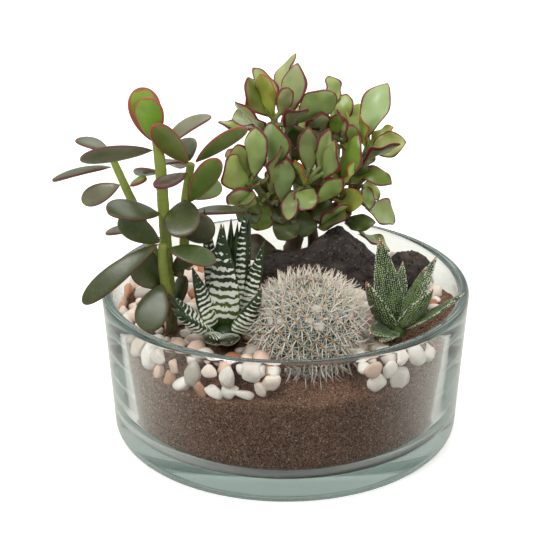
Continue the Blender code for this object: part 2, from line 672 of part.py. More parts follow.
SEATS.append(finish_object("zebra_seat", zebra_seat, zebra_green))
pearl_seat = core_bmesh(PEARL_CROWN, PEARL_CORE_RADIUS + SEAT_GAP)
SEATS.append(finish_object("pearl_seat", pearl_seat, pearl_green))
for seat in SEATS:
    boolean(crust, seat, "DIFFERENCE")
    boolean(ground, seat, "DIFFERENCE")
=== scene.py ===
import random
from math import atan2, cos, degrees, exp, hypot, pi, radians, sin, sqrt

import bmesh
import bpy
from mathutils import Matrix, Vector, noise


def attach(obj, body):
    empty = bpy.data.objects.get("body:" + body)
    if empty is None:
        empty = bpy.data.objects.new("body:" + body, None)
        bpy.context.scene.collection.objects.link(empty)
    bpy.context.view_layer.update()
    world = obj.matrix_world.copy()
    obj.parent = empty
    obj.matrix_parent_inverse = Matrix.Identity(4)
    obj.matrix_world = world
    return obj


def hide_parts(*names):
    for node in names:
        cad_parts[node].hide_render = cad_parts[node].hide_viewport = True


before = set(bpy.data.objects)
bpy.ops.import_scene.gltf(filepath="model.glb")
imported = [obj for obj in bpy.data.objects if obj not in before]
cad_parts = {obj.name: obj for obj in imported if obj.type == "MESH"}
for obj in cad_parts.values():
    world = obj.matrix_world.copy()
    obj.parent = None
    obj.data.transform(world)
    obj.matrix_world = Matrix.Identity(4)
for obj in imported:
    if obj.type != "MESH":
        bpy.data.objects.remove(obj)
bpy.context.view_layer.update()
scene = bpy.context.scene
mm = 0.001

# Shapes are worked out in millimetres and scaled to metres when a piece is finished.


def newMesh():
    # The looks read these marks: rim is how far a point lies from a leaf's margin, or along
    # a stem or a spine; spread is its place on the piece laid flat; tint is its colour.
    bm = bmesh.new()
    marks = {
        "rim": bm.verts.layers.float.new("rim"),
        "spread": bm.verts.layers.float_vector.new("spread"),
        "tint": bm.verts.layers.float_color.new("tint"),
    }
    return bm, marks


def finishPiece(name, bm, look, slotName=None, nodes=()):
    bmesh.ops.scale(bm, vec=(mm, mm, mm), verts=bm.verts)
    bmesh.ops.recalc_face_normals(bm, faces=bm.faces)
    mesh = bpy.data.meshes.new(name)
    bm.to_mesh(mesh)
    bm.free()
    mesh.materials.append(look)
    mesh.shade_smooth()
    piece = bpy.data.objects.new(name, mesh)
    scene.collection.objects.link(piece)
    if slotName:
        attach(piece, "root")
    if nodes:
        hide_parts(*nodes)
    return piece


def blendOf(low, high, share):
    return [a + (b - a) * share for a, b in zip(low, high)]


def towards(heading, rise=0.0):
    # Unit vector from angles in degrees: heading round the bowl, rise above level.
    heading, rise = radians(heading), radians(rise)
    return Vector((cos(heading) * cos(rise), sin(heading) * cos(rise), sin(rise)))


def smoothStep(low, high, value):
    share = min(max((value - low) / (high - low), 0.0), 1.0)
    return share * share * (3 - 2 * share)


# Node helpers

def newLook(name, **settings):
    look = bpy.data.materials.new(name)
    look.use_nodes = True
    shader = look.node_tree.nodes["Principled BSDF"]
    for key, value in settings.items():
        shader.inputs[key.replace("_", " ")].default_value = value
    return look, look.node_tree, shader


def addNode(tree, kind, inputs=(), **settings):
    node = tree.nodes.new("ShaderNode" + kind)
    for key, value in settings.items():
        setattr(node, key, value)
    for key, value in dict(inputs).items():
        if isinstance(value, bpy.types.NodeSocket):
            tree.links.new(value, node.inputs[key])
        else:
            node.inputs[key].default_value = value
    return node


def mathOf(tree, operation, first, second=0.0, third=0.0):
    return addNode(tree, "Math", {0: first, 1: second, 2: third}, operation=operation).outputs[0]


def between(tree, value, low, high):
    # Runs smoothly from 0 at low to 1 at high.
    node = addNode(tree, "MapRange", {"Value": value, "From Min": low, "From Max": high},
                   interpolation_type="SMOOTHSTEP")
    return node.outputs["Result"]


def mixColour(tree, share, first, second):
    node = addNode(tree, "Mix", data_type="RGBA")
    for index, value in ((0, share), (6, first), (7, second)):
        if isinstance(value, bpy.types.NodeSocket):
            tree.links.new(value, node.inputs[index])
        else:
            node.inputs[index].default_value = value if index == 0 else (*value, 1.0)
    return node.outputs[2]


def markOf(tree, name):
    return addNode(tree, "Attribute", attribute_name=name).outputs


def placeOf(tree, kind="Object"):
    return addNode(tree, "TexCoord").outputs[kind]


def noiseOf(tree, place, size, detail=3.0, rough=0.5):
    # Cloudy noise whose features are about size millimetres across.
    node = addNode(tree, "TexNoise", {"Vector": place, "Scale": 1000 / size, "Detail": detail,
                                      "Roughness": rough})
    return node.outputs["Fac"]


def cellsOf(tree, place, size):
    return addNode(tree, "TexVoronoi", {"Vector": place, "Scale": 1000 / size}).outputs


def channelOf(tree, colour, index):
    return addNode(tree, "SeparateColor", {"Color": colour}).outputs[index]


def bumpOf(tree, height, strength, distance, normal=None):
    inputs = {"Height": height, "Strength": strength, "Distance": distance * mm}
    if normal:
        inputs["Normal"] = normal
    return addNode(tree, "Bump", inputs).outputs["Normal"]


def stain(tree, colour, value, low, high, other, most=None):
    # Lays the other colour over the first as the value goes from low to high.
    share = between(tree, value, low, high)
    if most is not None:
        share = mathOf(tree, "MULTIPLY", share, most)
    return mixColour(tree, share, colour, other)


def wire(tree, shader, **outputs):
    for key, value in outputs.items():
        tree.links.new(value, shader.inputs[key.replace("_", " ")])


def newGroup(name, inputs, outputs):
    group = bpy.data.node_groups.new(name, "ShaderNodeTree")
    for way, sockets in (("INPUT", inputs), ("OUTPUT", outputs)):
        for label, kind in sockets.items():
            group.interface.new_socket(label, in_out=way, socket_type="NodeSocket" + kind)
    return (group, group.nodes.new("NodeGroupInput").outputs,
            group.nodes.new("NodeGroupOutput").inputs)


def makePatches():
    # Cloudy patches that stones, soil, skin and leaves all have.
    inputs = {"Place": "Vector"}
    for label in ("Scale", "Detail", "Roughness", "Low", "High", "Amount"):
        inputs[label] = "Float"
    group, given, result = newGroup("patches", inputs, {"Mask": "Float", "Cloud": "Float"})
    cloud = addNode(group, "TexNoise", {"Vector": given["Place"], "Scale": given["Scale"],
                                        "Detail": given["Detail"],
                                        "Roughness": given["Roughness"]}).outputs["Fac"]
    mask = mathOf(group, "MULTIPLY", between(group, cloud, given["Low"], given["High"]),
                  given["Amount"])
    group.links.new(mask, result["Mask"])
    group.links.new(cloud, result["Cloud"])
    return group


patches = makePatches()


def patchOf(tree, place, size, low, high, amount=1.0, detail=3.0, rough=0.5):
    # Patches about size millimetres across: a mask from low to high, and the plain cloud.
    values = {"Place": place, "Scale": 1000 / size, "Detail": detail, "Roughness": rough,
              "Low": low, "High": high, "Amount": amount}
    return addNode(tree, "Group", values, node_tree=patches).outputs


# Floor, light and camera

studio = {
    "floorHalf": 3000, "airUnderFoot": 0.15, "skyStrength": 0.52, "aim": (0, 0, 0.09),
    "lamps": {
        "keyLamp": {"place": (-0.55, -0.55, 0.95), "size": 0.3, "power": 4.2},
        "fillLamp": {"place": (0.75, -0.65, 0.55), "size": 0.6, "power": 1.1},
        "backLamp": {"place": (0.1, 0.8, 0.9), "size": 0.7, "power": 1.9},
    },
    # The camera looks at the point (side, height) on the middle plane, from above.
    "lens": 119.46, "sensor": 36, "lookAt": (-0.00483, 0.0893), "tilt": 23.53, "distance": 1.0,
}

floor = bmesh.new()
bmesh.ops.create_grid(floor, x_segments=1, y_segments=1, size=studio["floorHalf"])
# A hair of air under the glass foot keeps its base clear and bright.
bmesh.ops.translate(floor, verts=floor.verts, vec=(0, 0, -studio["airUnderFoot"]))
floorLook, tree, shader = newLook("paleFloor", Roughness=0.9, Emission_Strength=1.0)
cloud = noiseOf(tree, placeOf(tree), 400, 2)
seen = addNode(tree, "LightPath").outputs["Is Camera Ray"]
# What shines into the front of the glass is a painted dark patch on the floor, seen only by rays
# other than the camera's: a painted dark reflection.
spot = addNode(tree, "VectorMath", {0: placeOf(tree), 1: (0.0, -0.3, 0.0)}, operation="DISTANCE")
away = between(tree, spot.outputs["Value"], 0.18, 0.30)
dimWithPaintedDarkPatch = mixColour(tree, away, (0.12, 0.12, 0.12), (0.78, 0.78, 0.73))
pale = mixColour(tree, cloud, (0.88, 0.88, 0.88), (0.92, 0.92, 0.92))
wire(tree, shader, Base_Color=mixColour(tree, seen, dimWithPaintedDarkPatch, pale),
     Emission_Color=mixColour(tree, seen, (0.0, 0.0, 0.0), (0.38, 0.38, 0.38)))
finishPiece("floor", floor, floorLook)

world = bpy.data.worlds.new("softRoom")
scene.world = world
world.use_nodes = True
tree = world.node_tree
sky = tree.nodes["Background"]
sky.inputs["Strength"].default_value = studio["skyStrength"]
facing = addNode(tree, "SeparateXYZ", {0: placeOf(tree, "Generated")}).outputs
# Brighter above and behind than in front.
share = between(tree, mathOf(tree, "MULTIPLY_ADD", facing[2], 0.8, facing[1]), -1.0, -0.3)
above = between(tree, facing[2], 0.1, 0.8)
aloft = mixColour(tree, above, (1.0, 1.0, 0.96), (2.3, 2.3, 2.24))
soft = mixColour(tree, share, (0.5, 0.5, 0.49), aloft)
seen = addNode(tree, "LightPath").outputs["Is Camera Ray"]
wire(tree, sky, Color=mixColour(tree, seen, soft, (2.1, 2.1, 2.1)))
scene.view_settings.view_transform = "Standard"
# Light has to cross the thick glass many times before it leaves it.
scene.cycles.max_bounces = 32
scene.cycles.glossy_bounces = 20
scene.cycles.transmission_bounces = 32
scene.cycles.transparent_max_bounces = 32

for name, lamp in studio["lamps"].items():
    data = bpy.data.lights.new(name, "AREA")
    data.energy = lamp["power"]
    data.size = lamp["size"]
    holder = bpy.data.objects.new(name, data)
    holder.visible_transmission = False
    scene.collection.objects.link(holder)
    aim = Vector(studio["aim"]) - Vector(lamp["place"])
    holder.matrix_world = (Matrix.Translation(lamp["place"])
                           @ aim.to_track_quat("-Z", "Y").to_matrix().to_4x4())

lens = bpy.data.cameras.new("camera")
lens.lens = studio["lens"]
lens.sensor_width = studio["sensor"]
camera = bpy.data.objects.new("camera", lens)
scene.collection.objects.link(camera)
tilt = radians(studio["tilt"])
side, height = studio["lookAt"]
stand = (side, -studio["distance"] * cos(tilt), height + studio["distance"] * sin(tilt))
camera.matrix_world = Matrix.Translation(stand) @ Matrix.Rotation(pi / 2 - tilt, 4, "X")
scene.camera = camera
print("stage: light and camera")


# Bowl

bowl = {
    "height": 86, "rim": 100, "foot": 95, "footCorner": 9, "lip": 3,
    "innerCorner": 16, "cornerCentre": (71, 26), "innerFoot": 87,
    "wallSteps": 16, "turnSteps": 192,
    "glassTint": (0.62, 0.70, 0.675), "tintDensity": 14.5,
}


def lineOf(start, end, steps):
    # Points between the two, so that smooth shading stays true along a straight wall.
    return [tuple(blendOf(start, end, step / steps)) for step in range(1, steps)]


def arcOf(centre, radius, start, end, steps):
    points = []
    for step in range(steps + 1):
        angle = radians(start + (end - start) * step / steps)
        points.append((centre[0] + radius * cos(angle), centre[1] + radius * sin(angle)))
    return points


def turnProfile(bm, profile, steps):
    chain = [bm.verts.new((radius, 0, height)) for radius, height in profile]
    edges = [bm.edges.new(pair) for pair in zip(chain, chain[1:])]
    bmesh.ops.spin(bm, geom=chain + edges, axis=(0, 0, 1), cent=(0, 0, 0), angle=2 * pi,
                   steps=steps, use_merge=True)
    bmesh.ops.remove_doubles(bm, verts=bm.verts, dist=0.001)
    bmesh.ops.holes_fill(bm, edges=bm.edges, sides=0)


def wallRadius(height):
    # Radius of the inner wall at a height.
    low, high = bowl["cornerCentre"][1], bowl["height"] - bowl["lip"]
    top = bowl["rim"] - 2 * bowl["lip"]
    return bowl["innerFoot"] + (top - bowl["innerFoot"]) * (height - low) / (high - low)


def makeBowl():
    foot = arcOf((bowl["foot"] - bowl["footCorner"], bowl["footCorner"]), bowl["footCorner"],
                 -90, 0, 10)
    lip = arcOf((bowl["rim"] - bowl["lip"], bowl["height"] - bowl["lip"]), bowl["lip"],
                0, 180, 12)
    bend = arcOf(bowl["cornerCentre"], bowl["innerCorner"], 0, -90, 10)
    bm = bmesh.new()
    outer = lineOf(foot[-1], lip[0], bowl["wallSteps"])
    inner = lineOf(lip[-1], bend[0], bowl["wallSteps"])
    under = lineOf((0, bend[-1][1]), bend[-1], 6)[::-1]
    below = lineOf((0, 0), foot[0], 6)
    turnProfile(bm, below + foot + outer + lip + inner + bend + under, bowl["turnSteps"])

    look, tree, shader = newLook("clearGlass", Roughness=0.015, IOR=1.46,
                                 Transmission_Weight=1.0, Base_Color=(1.0, 1.0, 1.0, 1.0))
    tinted = addNode(tree, "VolumeAbsorption", {"Color": (*bowl["glassTint"], 1.0),
                                                "Density": bowl["tintDensity"]})
    # Its shadow is let through, so that the soil and the floor behind it stay bright.
    clear = addNode(tree, "BsdfTransparent", {"Color": (0.97, 0.975, 0.97, 1.0)})
    shadow = addNode(tree, "LightPath").outputs["Is Shadow Ray"]
    mixed = addNode(tree, "MixShader", {0: shadow, 1: shader.outputs[0], 2: clear.outputs[0]})
    wire(tree, tree.nodes["Material Output"], Surface=mixed.outputs[0], Volume=tinted.outputs[0])
    finishPiece("glassBowl", bm, look, "bowl_glass", ["glass_bowl"])


makeBowl()
print("stage: bowl")


# Soil

soil = {
    "wallHeight": 66, "mound": 9, "reach": 92, "rings": 46, "sides": 180, "gap": 0.15,
    # Depth, direction and half width of the dips; the last is a rise.
    "dips": [(9, -120, 50), (8, -78, 26), (9, -50, 28), (-8, -5, 40)],
    "damp": (0.135, 0.059, 0.033), "dry": (0.188, 0.092, 0.055),
    "paleGrain": (0.375, 0.219, 0.138), "darkGrain": (0.037, 0.018, 0.011),
    "paleSand": (0.338, 0.200, 0.125), "darkSand": (0.037, 0.019, 0.013),
    # Size, colour channel that picks them, how rare, outer and inner reach, colour.
    "specks": [(1.7, 0, 0.86, 0.30, 0.16, (0.62, 0.50, 0.38)),
               (0.8, 1, 0.80, 0.32, 0.18, (0.525, 0.388, 0.275))],
}


def bumpAt(x, y, centre, spread):
    # From 0 to 1: strongest by the wall in the direction of centre, gone spread degrees away.
    away = abs((degrees(atan2(y, x)) - centre + 180) % 360 - 180)
    reach = min(hypot(x, y) / 80, 1) ** 2
    return reach * max(0.0, cos(min(away / spread, 1) * pi / 2)) ** 2


def soilHeight(x, y):
    height = soil["wallHeight"] + soil["mound"] * (1 - (hypot(x, y) / soil["reach"]) ** 2)
    for depth, centre, spread in soil["dips"]:
        height -= depth * bumpAt(x, y, centre, spread)
    return height + 0.8 * noise.noise(Vector((x, y, 0)) / 14)


def makeSoil():
    gap = soil["gap"]
    bend = arcOf(bowl["cornerCentre"], bowl["innerCorner"] - gap, -90, 0, 8)
    wall = [(wallRadius(height) - gap, height) for height in range(29, 57, 3)]
    # The top is held up as flat rings first, and then laid on the mound.
    edge, held = 88, 200
    top = [(edge * (1 - step / soil["rings"]) ** 0.9, held) for step in range(soil["rings"])]
    bm = bmesh.new()
    turnProfile(bm, bend + wall + top, soil["sides"])
    for vert in bm.verts:
        if vert.co.z > held - 50:
            x, y = vert.co.x, vert.co.y
            grit = noise.noise(Vector((x, y, 5)) / 2.2)
            grit += 0.6 * noise.noise(Vector((x, y, 9)) / 0.9)
            vert.co.z = soilHeight(x, y) + 0.35 * grit
            reach = (wallRadius(vert.co.z) - gap) / max(hypot(x, y), 1)
            if reach < 1 or hypot(x, y) > edge - 0.1:
                vert.co.x *= reach
                vert.co.y *= reach

    look, tree, shader = newLook("sandySoil", Roughness=0.95, Specular_IOR_Level=0.25)
    place = placeOf(tree)
    damp = patchOf(tree, place, 30, 0.3, 0.7, detail=4)["Mask"]
    colour = mixColour(tree, damp, soil["damp"], soil["dry"])
    grain = noiseOf(tree, place, 1.0, 4, 0.75)
    colour = stain(tree, colour, grain, 0.45, 0.75, soil["paleGrain"])
    colour = stain(tree, colour, grain, 0.44, 0.30, soil["darkGrain"])
    shade = channelOf(tree, cellsOf(tree, place, 0.6)["Color"], 2)
    colour = stain(tree, colour, shade, 0.70, 0.90, soil["paleSand"])
    colour = stain(tree, colour, shade, 0.30, 0.12, soil["darkSand"])
    for size, channel, rare, outer, inner, tint in soil["specks"]:
        cells = cellsOf(tree, place, size)
        few = mathOf(tree, "GREATER_THAN", channelOf(tree, cells["Color"], channel), rare)
        colour = stain(tree, colour, cells["Distance"], outer, inner, tint, few)
    wire(tree, shader, Base_Color=colour, Normal=bumpOf(tree, grain, 0.9, 0.9))
    finishPiece("sandySoil", bm, look, "soil", ["soil"])


makeSoil()
print("stage: soil")


# Pebbles

pebbles = {
    "seed": 7, "count": 150, "turn": 137.508, "reach": 83, "half": 6.2, "gap": 0.8,
    "wallReach": 84, "level": 73, "mound": 3, "dips": [(4, 90, 110), (20, -78, 22)],
    "plantDip": 7, "plantReach": 30,
    "wallTries": 2600, "wallSizes": (4.4, 8.4), "smallTries": 5200, "smallSizes": (2.6, 5.2),
    "veins": (0.50, 0.30, 0.18), "dust": (0.40, 0.34, 0.28),
    "colours": [
        ((0.88, 0.82, 0.75), 14), ((0.84, 0.72, 0.62), 8), ((0.78, 0.57, 0.45), 3),
        ((0.58, 0.31, 0.19), 1.5), ((0.42, 0.16, 0.075), 2), ((0.50, 0.46, 0.40), 0.6),
    ],
    # Place and reach of what stands in the bed.
    "planted": [(12, -47, 31), (-60, -37, 8), (-31, -45, 14), (58, -38, 12), (3, 40, 9),
                (17, 46, 8), (-2, 18, 17), (19, 16, 19), (40, 14, 18), (69, 16, 15)],
}


# Where the two haworthias stand, which the bed dips around.
zebra = {"crown": (-31, -45, 77), "core": 8.5}
pearl = {"crown": (58, -38, 77), "core": 6.5}


def bedHeight(x, y):
    # Middle height of the pebble bed.
    bed = pebbles["level"] + pebbles["mound"] * (1 - (hypot(x, y) / soil["reach"]) ** 2)
    bed -= sum(depth * bumpAt(x, y, *spread) for depth, *spread in pebbles["dips"])
    for plant in (zebra, pearl):
        away = hypot(x - plant["crown"][0], y - plant["crown"][1])
        share = min(away / pebbles["plantReach"], 1)
        bed -= pebbles["plantDip"] * max(0.0, cos(share * pi / 2)) ** 2
    return max(bed, soilHeight(x, y) + 1.5)


def isPlanted(x, y, scale=1.0, spare=0.0):
    return any(hypot(x - spot[0], y - spot[1]) < spot[2] * scale + spare
               for spot in pebbles["planted"])


def growPebble(bm, marks, centre, sizes, facing, tint, seed, chips=0, detail=3):
    # Chips are flat broken faces, which leave soft edges between them.
    pick = random.Random(seed)
    cuts = []
    for _ in range(chips):
        way = Vector((pick.gauss(0, 1), pick.gauss(0, 1), pick.gauss(0, 1))).normalized()
        cuts.append((way, pick.uniform(0.56, 0.84)))
    made = bmesh.ops.create_icosphere(bm, subdivisions=detail, radius=1)["verts"]
    for vert in made:
        way = vert.co.normalized()
        swell = 1 + 0.18 * noise.noise(way * 1.2 + Vector((seed, 0.7 * seed, 3)))
        for face, depth in cuts:
            toward = way.dot(face)
            if toward > 0.05:
                swell = min(swell, depth / toward + 0.03)
        swell += 0.015 * noise.noise(way * 6 + Vector((seed, 0, 0)))
        vert.co = centre + facing @ Vector([way[i] * sizes[i] * swell for i in range(3)])
        vert[marks["tint"]] = (*tint, 1)


def pebbleTint(pick, chance):
    total = sum(weight for colour, weight in pebbles["colours"])
    target = pick * total
    for colour, weight in pebbles["colours"]:
        target -= weight
        if target <= 0:
            break
    return [min(channel * (0.88 + 0.24 * chance), 0.95) for channel in colour]


def bareGround(x, y):
    angle = degrees(atan2(y, x))
    return hypot(x, y) > 55 and (-94 < angle < -62 or -32 < angle < 16)


def strewnGround(x, y):
    # Where the bare ground at the right still has loose pebbles on it.
    angle = degrees(atan2(y, x))
    return -14 < angle < 18 and hypot(x, y) > 62


def makePebbles():
    bm, marks = newMesh()
    chance = random.Random(pebbles["seed"])
    taken = []

    # The large ones of the bed, in the order in which a sunflower sets its seeds.
    for index in range(pebbles["count"]):
        reach = pebbles["reach"] * sqrt((index + 0.5) / pebbles["count"])
        angle = radians(pebbles["turn"]) * index
        x, y = reach * cos(angle), reach * sin(angle)
        drift = [3 * noise.noise(Vector((x, y, layer)) / 7) for layer in (1, 2)]
        x, y = x + drift[0], y + drift[1]
        if bareGround(x, y) or isPlanted(x, y):
            continue
        size = pebbles["half"] * (1 + 0.35 * noise.noise(Vector((x, y, 7)) / 3))
        height = max(bedHeight(x, y) - 0.4, soilHeight(x, y) + 0.7 + 0.36 * size)
        facing = (Matrix.Rotation(2.4 * index, 3, "Z")
                  @ Matrix.Rotation(0.3 * sin(5 * index), 3, "X"))
        centre = Vector((x, y, height))
        tint = pebbleTint(chance.random(), chance.random())
        growPebble(bm, marks, centre, (size, 0.78 * size, 0.62 * size), facing, tint, index,
                   chance.choice((0, 4, 6, 8)))
        taken.append((centre, size * 0.9))

    def drop(place, sizes, facing, tight, chips, detail):
        for other, reach in taken:
            if (place - other).length < (max(sizes) * 0.85 + reach) * tight:
                return
        taken.append((place, max(sizes) * 0.85))
        tint = pebbleTint(chance.random(), chance.random())
        growPebble(bm, marks, place, sizes, facing, tint, 1000 + len(taken), chips, detail)

    # Against the glass, a flat side to the wall.
    for _ in range(pebbles["wallTries"]):
        angle = chance.uniform(-180, 180)
        facing = (Matrix.Rotation(radians(angle), 3, "Z")
                  @ Matrix.Rotation(chance.uniform(0, pi), 3, "X"))
        size = chance.uniform(*pebbles["wallSizes"])
        sizes = (size * 0.5, size, size * chance.uniform(0.62, 0.9))
        spot = towards(angle)
        x, y = spot.x * pebbles["wallReach"], spot.y * pebbles["wallReach"]
        low, high = soilHeight(x, y), bedHeight(x, y)
        height = chance.uniform(low + 1.5, high + 1.5)
        spot *= wallRadius(height) - sizes[0] - pebbles["gap"]
        spot.z = height
        if high - low > 3.5 and not bareGround(spot.x, spot.y):
            drop(spot, sizes, facing, 0.80, chance.choice((0, 5, 7, 8)), 3)
    # Smaller ones between them and over the top.
    for _ in range(pebbles["smallTries"]):
        radius, angle = pebbles["wallReach"] * sqrt(chance.random()), chance.uniform(-pi, pi)
        x, y = radius * cos(angle), radius * sin(angle)
        size = chance.uniform(*pebbles["smallSizes"])
        if isPlanted(x, y, 0.8, size - 3):
            continue
        if bareGround(x, y) and not (strewnGround(x, y) and size > 3.4):
            continue
        height = max(bedHeight(x, y) + chance.uniform(-2.5, 0.5), soilHeight(x, y) + 0.3 * size)
        sizes = (size, size * chance.uniform(0.68, 0.9), size * chance.uniform(0.5, 0.7))
        facing = (Matrix.Rotation(chance.uniform(0, 2 * pi), 3, "Z")
                  @ Matrix.Rotation(chance.gauss(0, 0.35), 3, "X"))
        drop(Vector((x, y, height)), sizes, facing, 0.78, chance.choice((0, 4, 6)), 2)

    look, tree, shader = newLook("pebbleStone", Roughness=0.5, Subsurface_Weight=0.06,
                                 Subsurface_Scale=0.002)
    place = placeOf(tree)
    tint = markOf(tree, "tint")["Color"]
    veins = patchOf(tree, place, 7, 0.50, 0.72, 0.4, 5, 0.6)["Mask"]
    colour = mixColour(tree, veins, tint, pebbles["veins"])
    dust = patchOf(tree, place, 1.5, 0.60, 0.80, 0.7, 3, 0.7)
    colour = mixColour(tree, dust["Mask"], colour, pebbles["dust"])
    wire(tree, shader, Base_Color=colour, Normal=bumpOf(tree, dust["Cloud"], 0.25, 0.3),
         Roughness=mathOf(tree, "MULTIPLY_ADD", dust["Cloud"], 0.4, 0.25))
    finishPiece("pebbles", bm, look, "pebbles", ["pebble_bed"])
    print("pebbles", len(taken))


makePebbles()
print("stage: pebbles")


# Lava rocks

rocks = {
    "lavaRockLarge": {"node": "lava_rock_large", "centre": (19, 16, 85), "half": (36, 16, 22),
                      "turn": -5, "crest": (13, 16, 0.45, 1.25), "rough": 0.22, "detail": 6},
    "lavaRockSmall": {"node": "lava_rock_small", "centre": (69, 16, 84), "half": (12, 10, 14),
                      "turn": 20, "crest": (0, 9, 0.8, 1.0), "rough": 0.22, "detail": 5},
}
lava = {
    "deep": (0.030, 0.024, 0.023), "worn": (0.075, 0.060, 0.055), "dust": (0.19, 0.16, 0.135),
    "pitShade": (0.012, 0.009, 0.008), "rust": (0.13, 0.070, 0.042),
}


def makeRocks():
    # Each is a lump chipped along cell edges, pitted, and drawn up into a crest.
    look, tree, shader = newLook("lavaStone", Roughness=0.92, Specular_IOR_Level=0.3)
    place = placeOf(tree)
    broad = patchOf(tree, place, 14, 0.35, 0.68, 1.0, 4, 0.6)["Mask"]
    colour = mixColour(tree, broad, lava["deep"], lava["worn"])
    grain = patchOf(tree, place, 2.2, 0.50, 0.78, 1.0, 5, 0.7)
    colour = mixColour(tree, grain["Mask"], colour, lava["dust"])
    pits = cellsOf(tree, place, 3.0)["Distance"]
    fine = cellsOf(tree, place, 1.3)["Distance"]
    # The pits, which only the bump makes, are painted nearly black: painted shade in the holes.
    colour = stain(tree, colour, pits, 0.26, 0.08, lava["pitShade"])
    rust = patchOf(tree, place, 20, 0.56, 0.70, 0.45)["Mask"]
    colour = mixColour(tree, rust, colour, lava["rust"])
    holes = bumpOf(tree, between(tree, pits, 0.05, 0.40), 0.8, 1.0)
    small = bumpOf(tree, between(tree, fine, 0.05, 0.45), 0.6, 0.5, holes)
    wire(tree, shader, Base_Color=colour, Normal=bumpOf(tree, grain["Cloud"], 0.8, 0.7, small))

    for name, rock in rocks.items():
        bm = bmesh.new()
        bmesh.ops.create_icosphere(bm, subdivisions=rock["detail"], radius=1)
        facing = Matrix.Rotation(radians(rock["turn"]), 3, "Z")
        centre = Vector(rock["centre"])
        for vert in bm.verts:
            way = vert.co.normalized()
            swell = 1 + rock["rough"] * noise.fractal(way * 1.7 + centre * 0.05, 0.9, 2.1, 3)
            spot = way * rock["half"][0] + centre
            split = noise.voronoi(spot / 8.5)[0]
            chipped = max(split[1] - split[0], 0)
            hole = max(0.0, 0.32 - noise.voronoi(spot / 3.4)[0][0])
            local = Vector([way[i] * rock["half"][i] * swell for i in range(3)])
            local -= way * (1.3 * (0.35 - min(chipped, 0.35)) + 2.2 * hole)
            local += way * 0.55 * noise.noise(spot / 1.7)
            if local.z > 0:
                spot, reach, low, high = rock["crest"]
                local.z *= low + (high - low) * exp(-((local.x - spot) / reach) ** 2)
            vert.co = facing @ local + centre
        finishPiece(name, bm, look, "lava_rock", [rock["node"]])


makeRocks()
print("stage: rocks")


# Cactus

cactus = {
    "seed": 11, "centre": (12, -47, 80), "radius": 26.6, "bumps": 370, "bump": (2.1, 2.6),
    "radials": 10, "radialLength": (4.6, 6.4), "radialWidth": 0.20,
    "centralLength": (8.0, 10.5), "centralWidth": 0.38, "flat": 0.96,
    "paintedHollowShade": (0.040, 0.055, 0.030), "bumpTop": (0.17, 0.215, 0.125),
    "radialTint": (0.84, 0.81, 0.75), "centralTint": (0.95, 0.88, 0.76),
    "tipTint": (0.46, 0.17, 0.06), "areoles": ((0.56, 0.24, 0.05), (0.66, 0.42, 0.20)),
    "wool": (0.90, 0.86, 0.82), "bud": (0.66, 0.13, 0.24),
    "mottle": (0.16, 0.18, 0.13), "fleck": (0.36, 0.38, 0.29), "fibre": (0.55, 0.43, 0.32),
    "woolShade": (0.30, 0.20, 0.14),
}


def growSpine(bm, marks, length, width, lean, around, kind):
    # A thin three-sided cone from the areole; its rim mark runs from 0 at the root to 1.
    made = bmesh.ops.create_cone(bm, segments=3, radius1=width, radius2=width * 0.5,
                                 depth=length)["verts"]
    facing = Matrix.Rotation(around, 3, "Z") @ Matrix.Rotation(lean, 3, "Y")
    for vert in made:
        share = vert.co.z / length + 0.5
        vert.co = facing @ (vert.co + Vector((0, 0, length / 2)))
        vert[marks["rim"]] = share
        vert[marks["spread"]] = (kind, 0, 0)


def spineCluster(chance, crown):
    # The spines of one areole, pointing up +Z, with -X the way down the cactus.
    bm, marks = newMesh()
    count = cactus["radials"] + (4 if crown else 0)
    for index in range(count):
        around = 2 * pi * (index + chance.uniform(-0.3, 0.3)) / count
        growSpine(bm, marks, chance.uniform(*cactus["radialLength"]), cactus["radialWidth"],
                  radians(chance.uniform(60, 84)), around, 0)
    for side in (pi, 0, pi / 2, -pi / 2)[:4 if crown else 2]:
        lean = chance.uniform(15, 45) if crown or side == 0 else chance.uniform(38, 66)
        growSpine(bm, marks, chance.uniform(*cactus["centralLength"]) * (0.85 if crown else 1),
                  cactus["centralWidth"], radians(lean), side + chance.uniform(-0.6, 0.6), 1)
    mesh = bpy.data.meshes.new("cluster")
    bm.to_mesh(mesh)
    bm.free()
    return mesh


def growBlob(bm, marks, centre, facing, sizes, hue, detail=1):
    for vert in bmesh.ops.create_icosphere(bm, subdivisions=detail, radius=1)["verts"]:
        vert.co *= 1 + 0.2 * detail * noise.noise(vert.co * detail + centre)
        vert.co = centre + facing @ Vector([vert.co[i] * sizes[i] for i in range(3)])
        vert[marks["tint"]] = (*hue, 1)


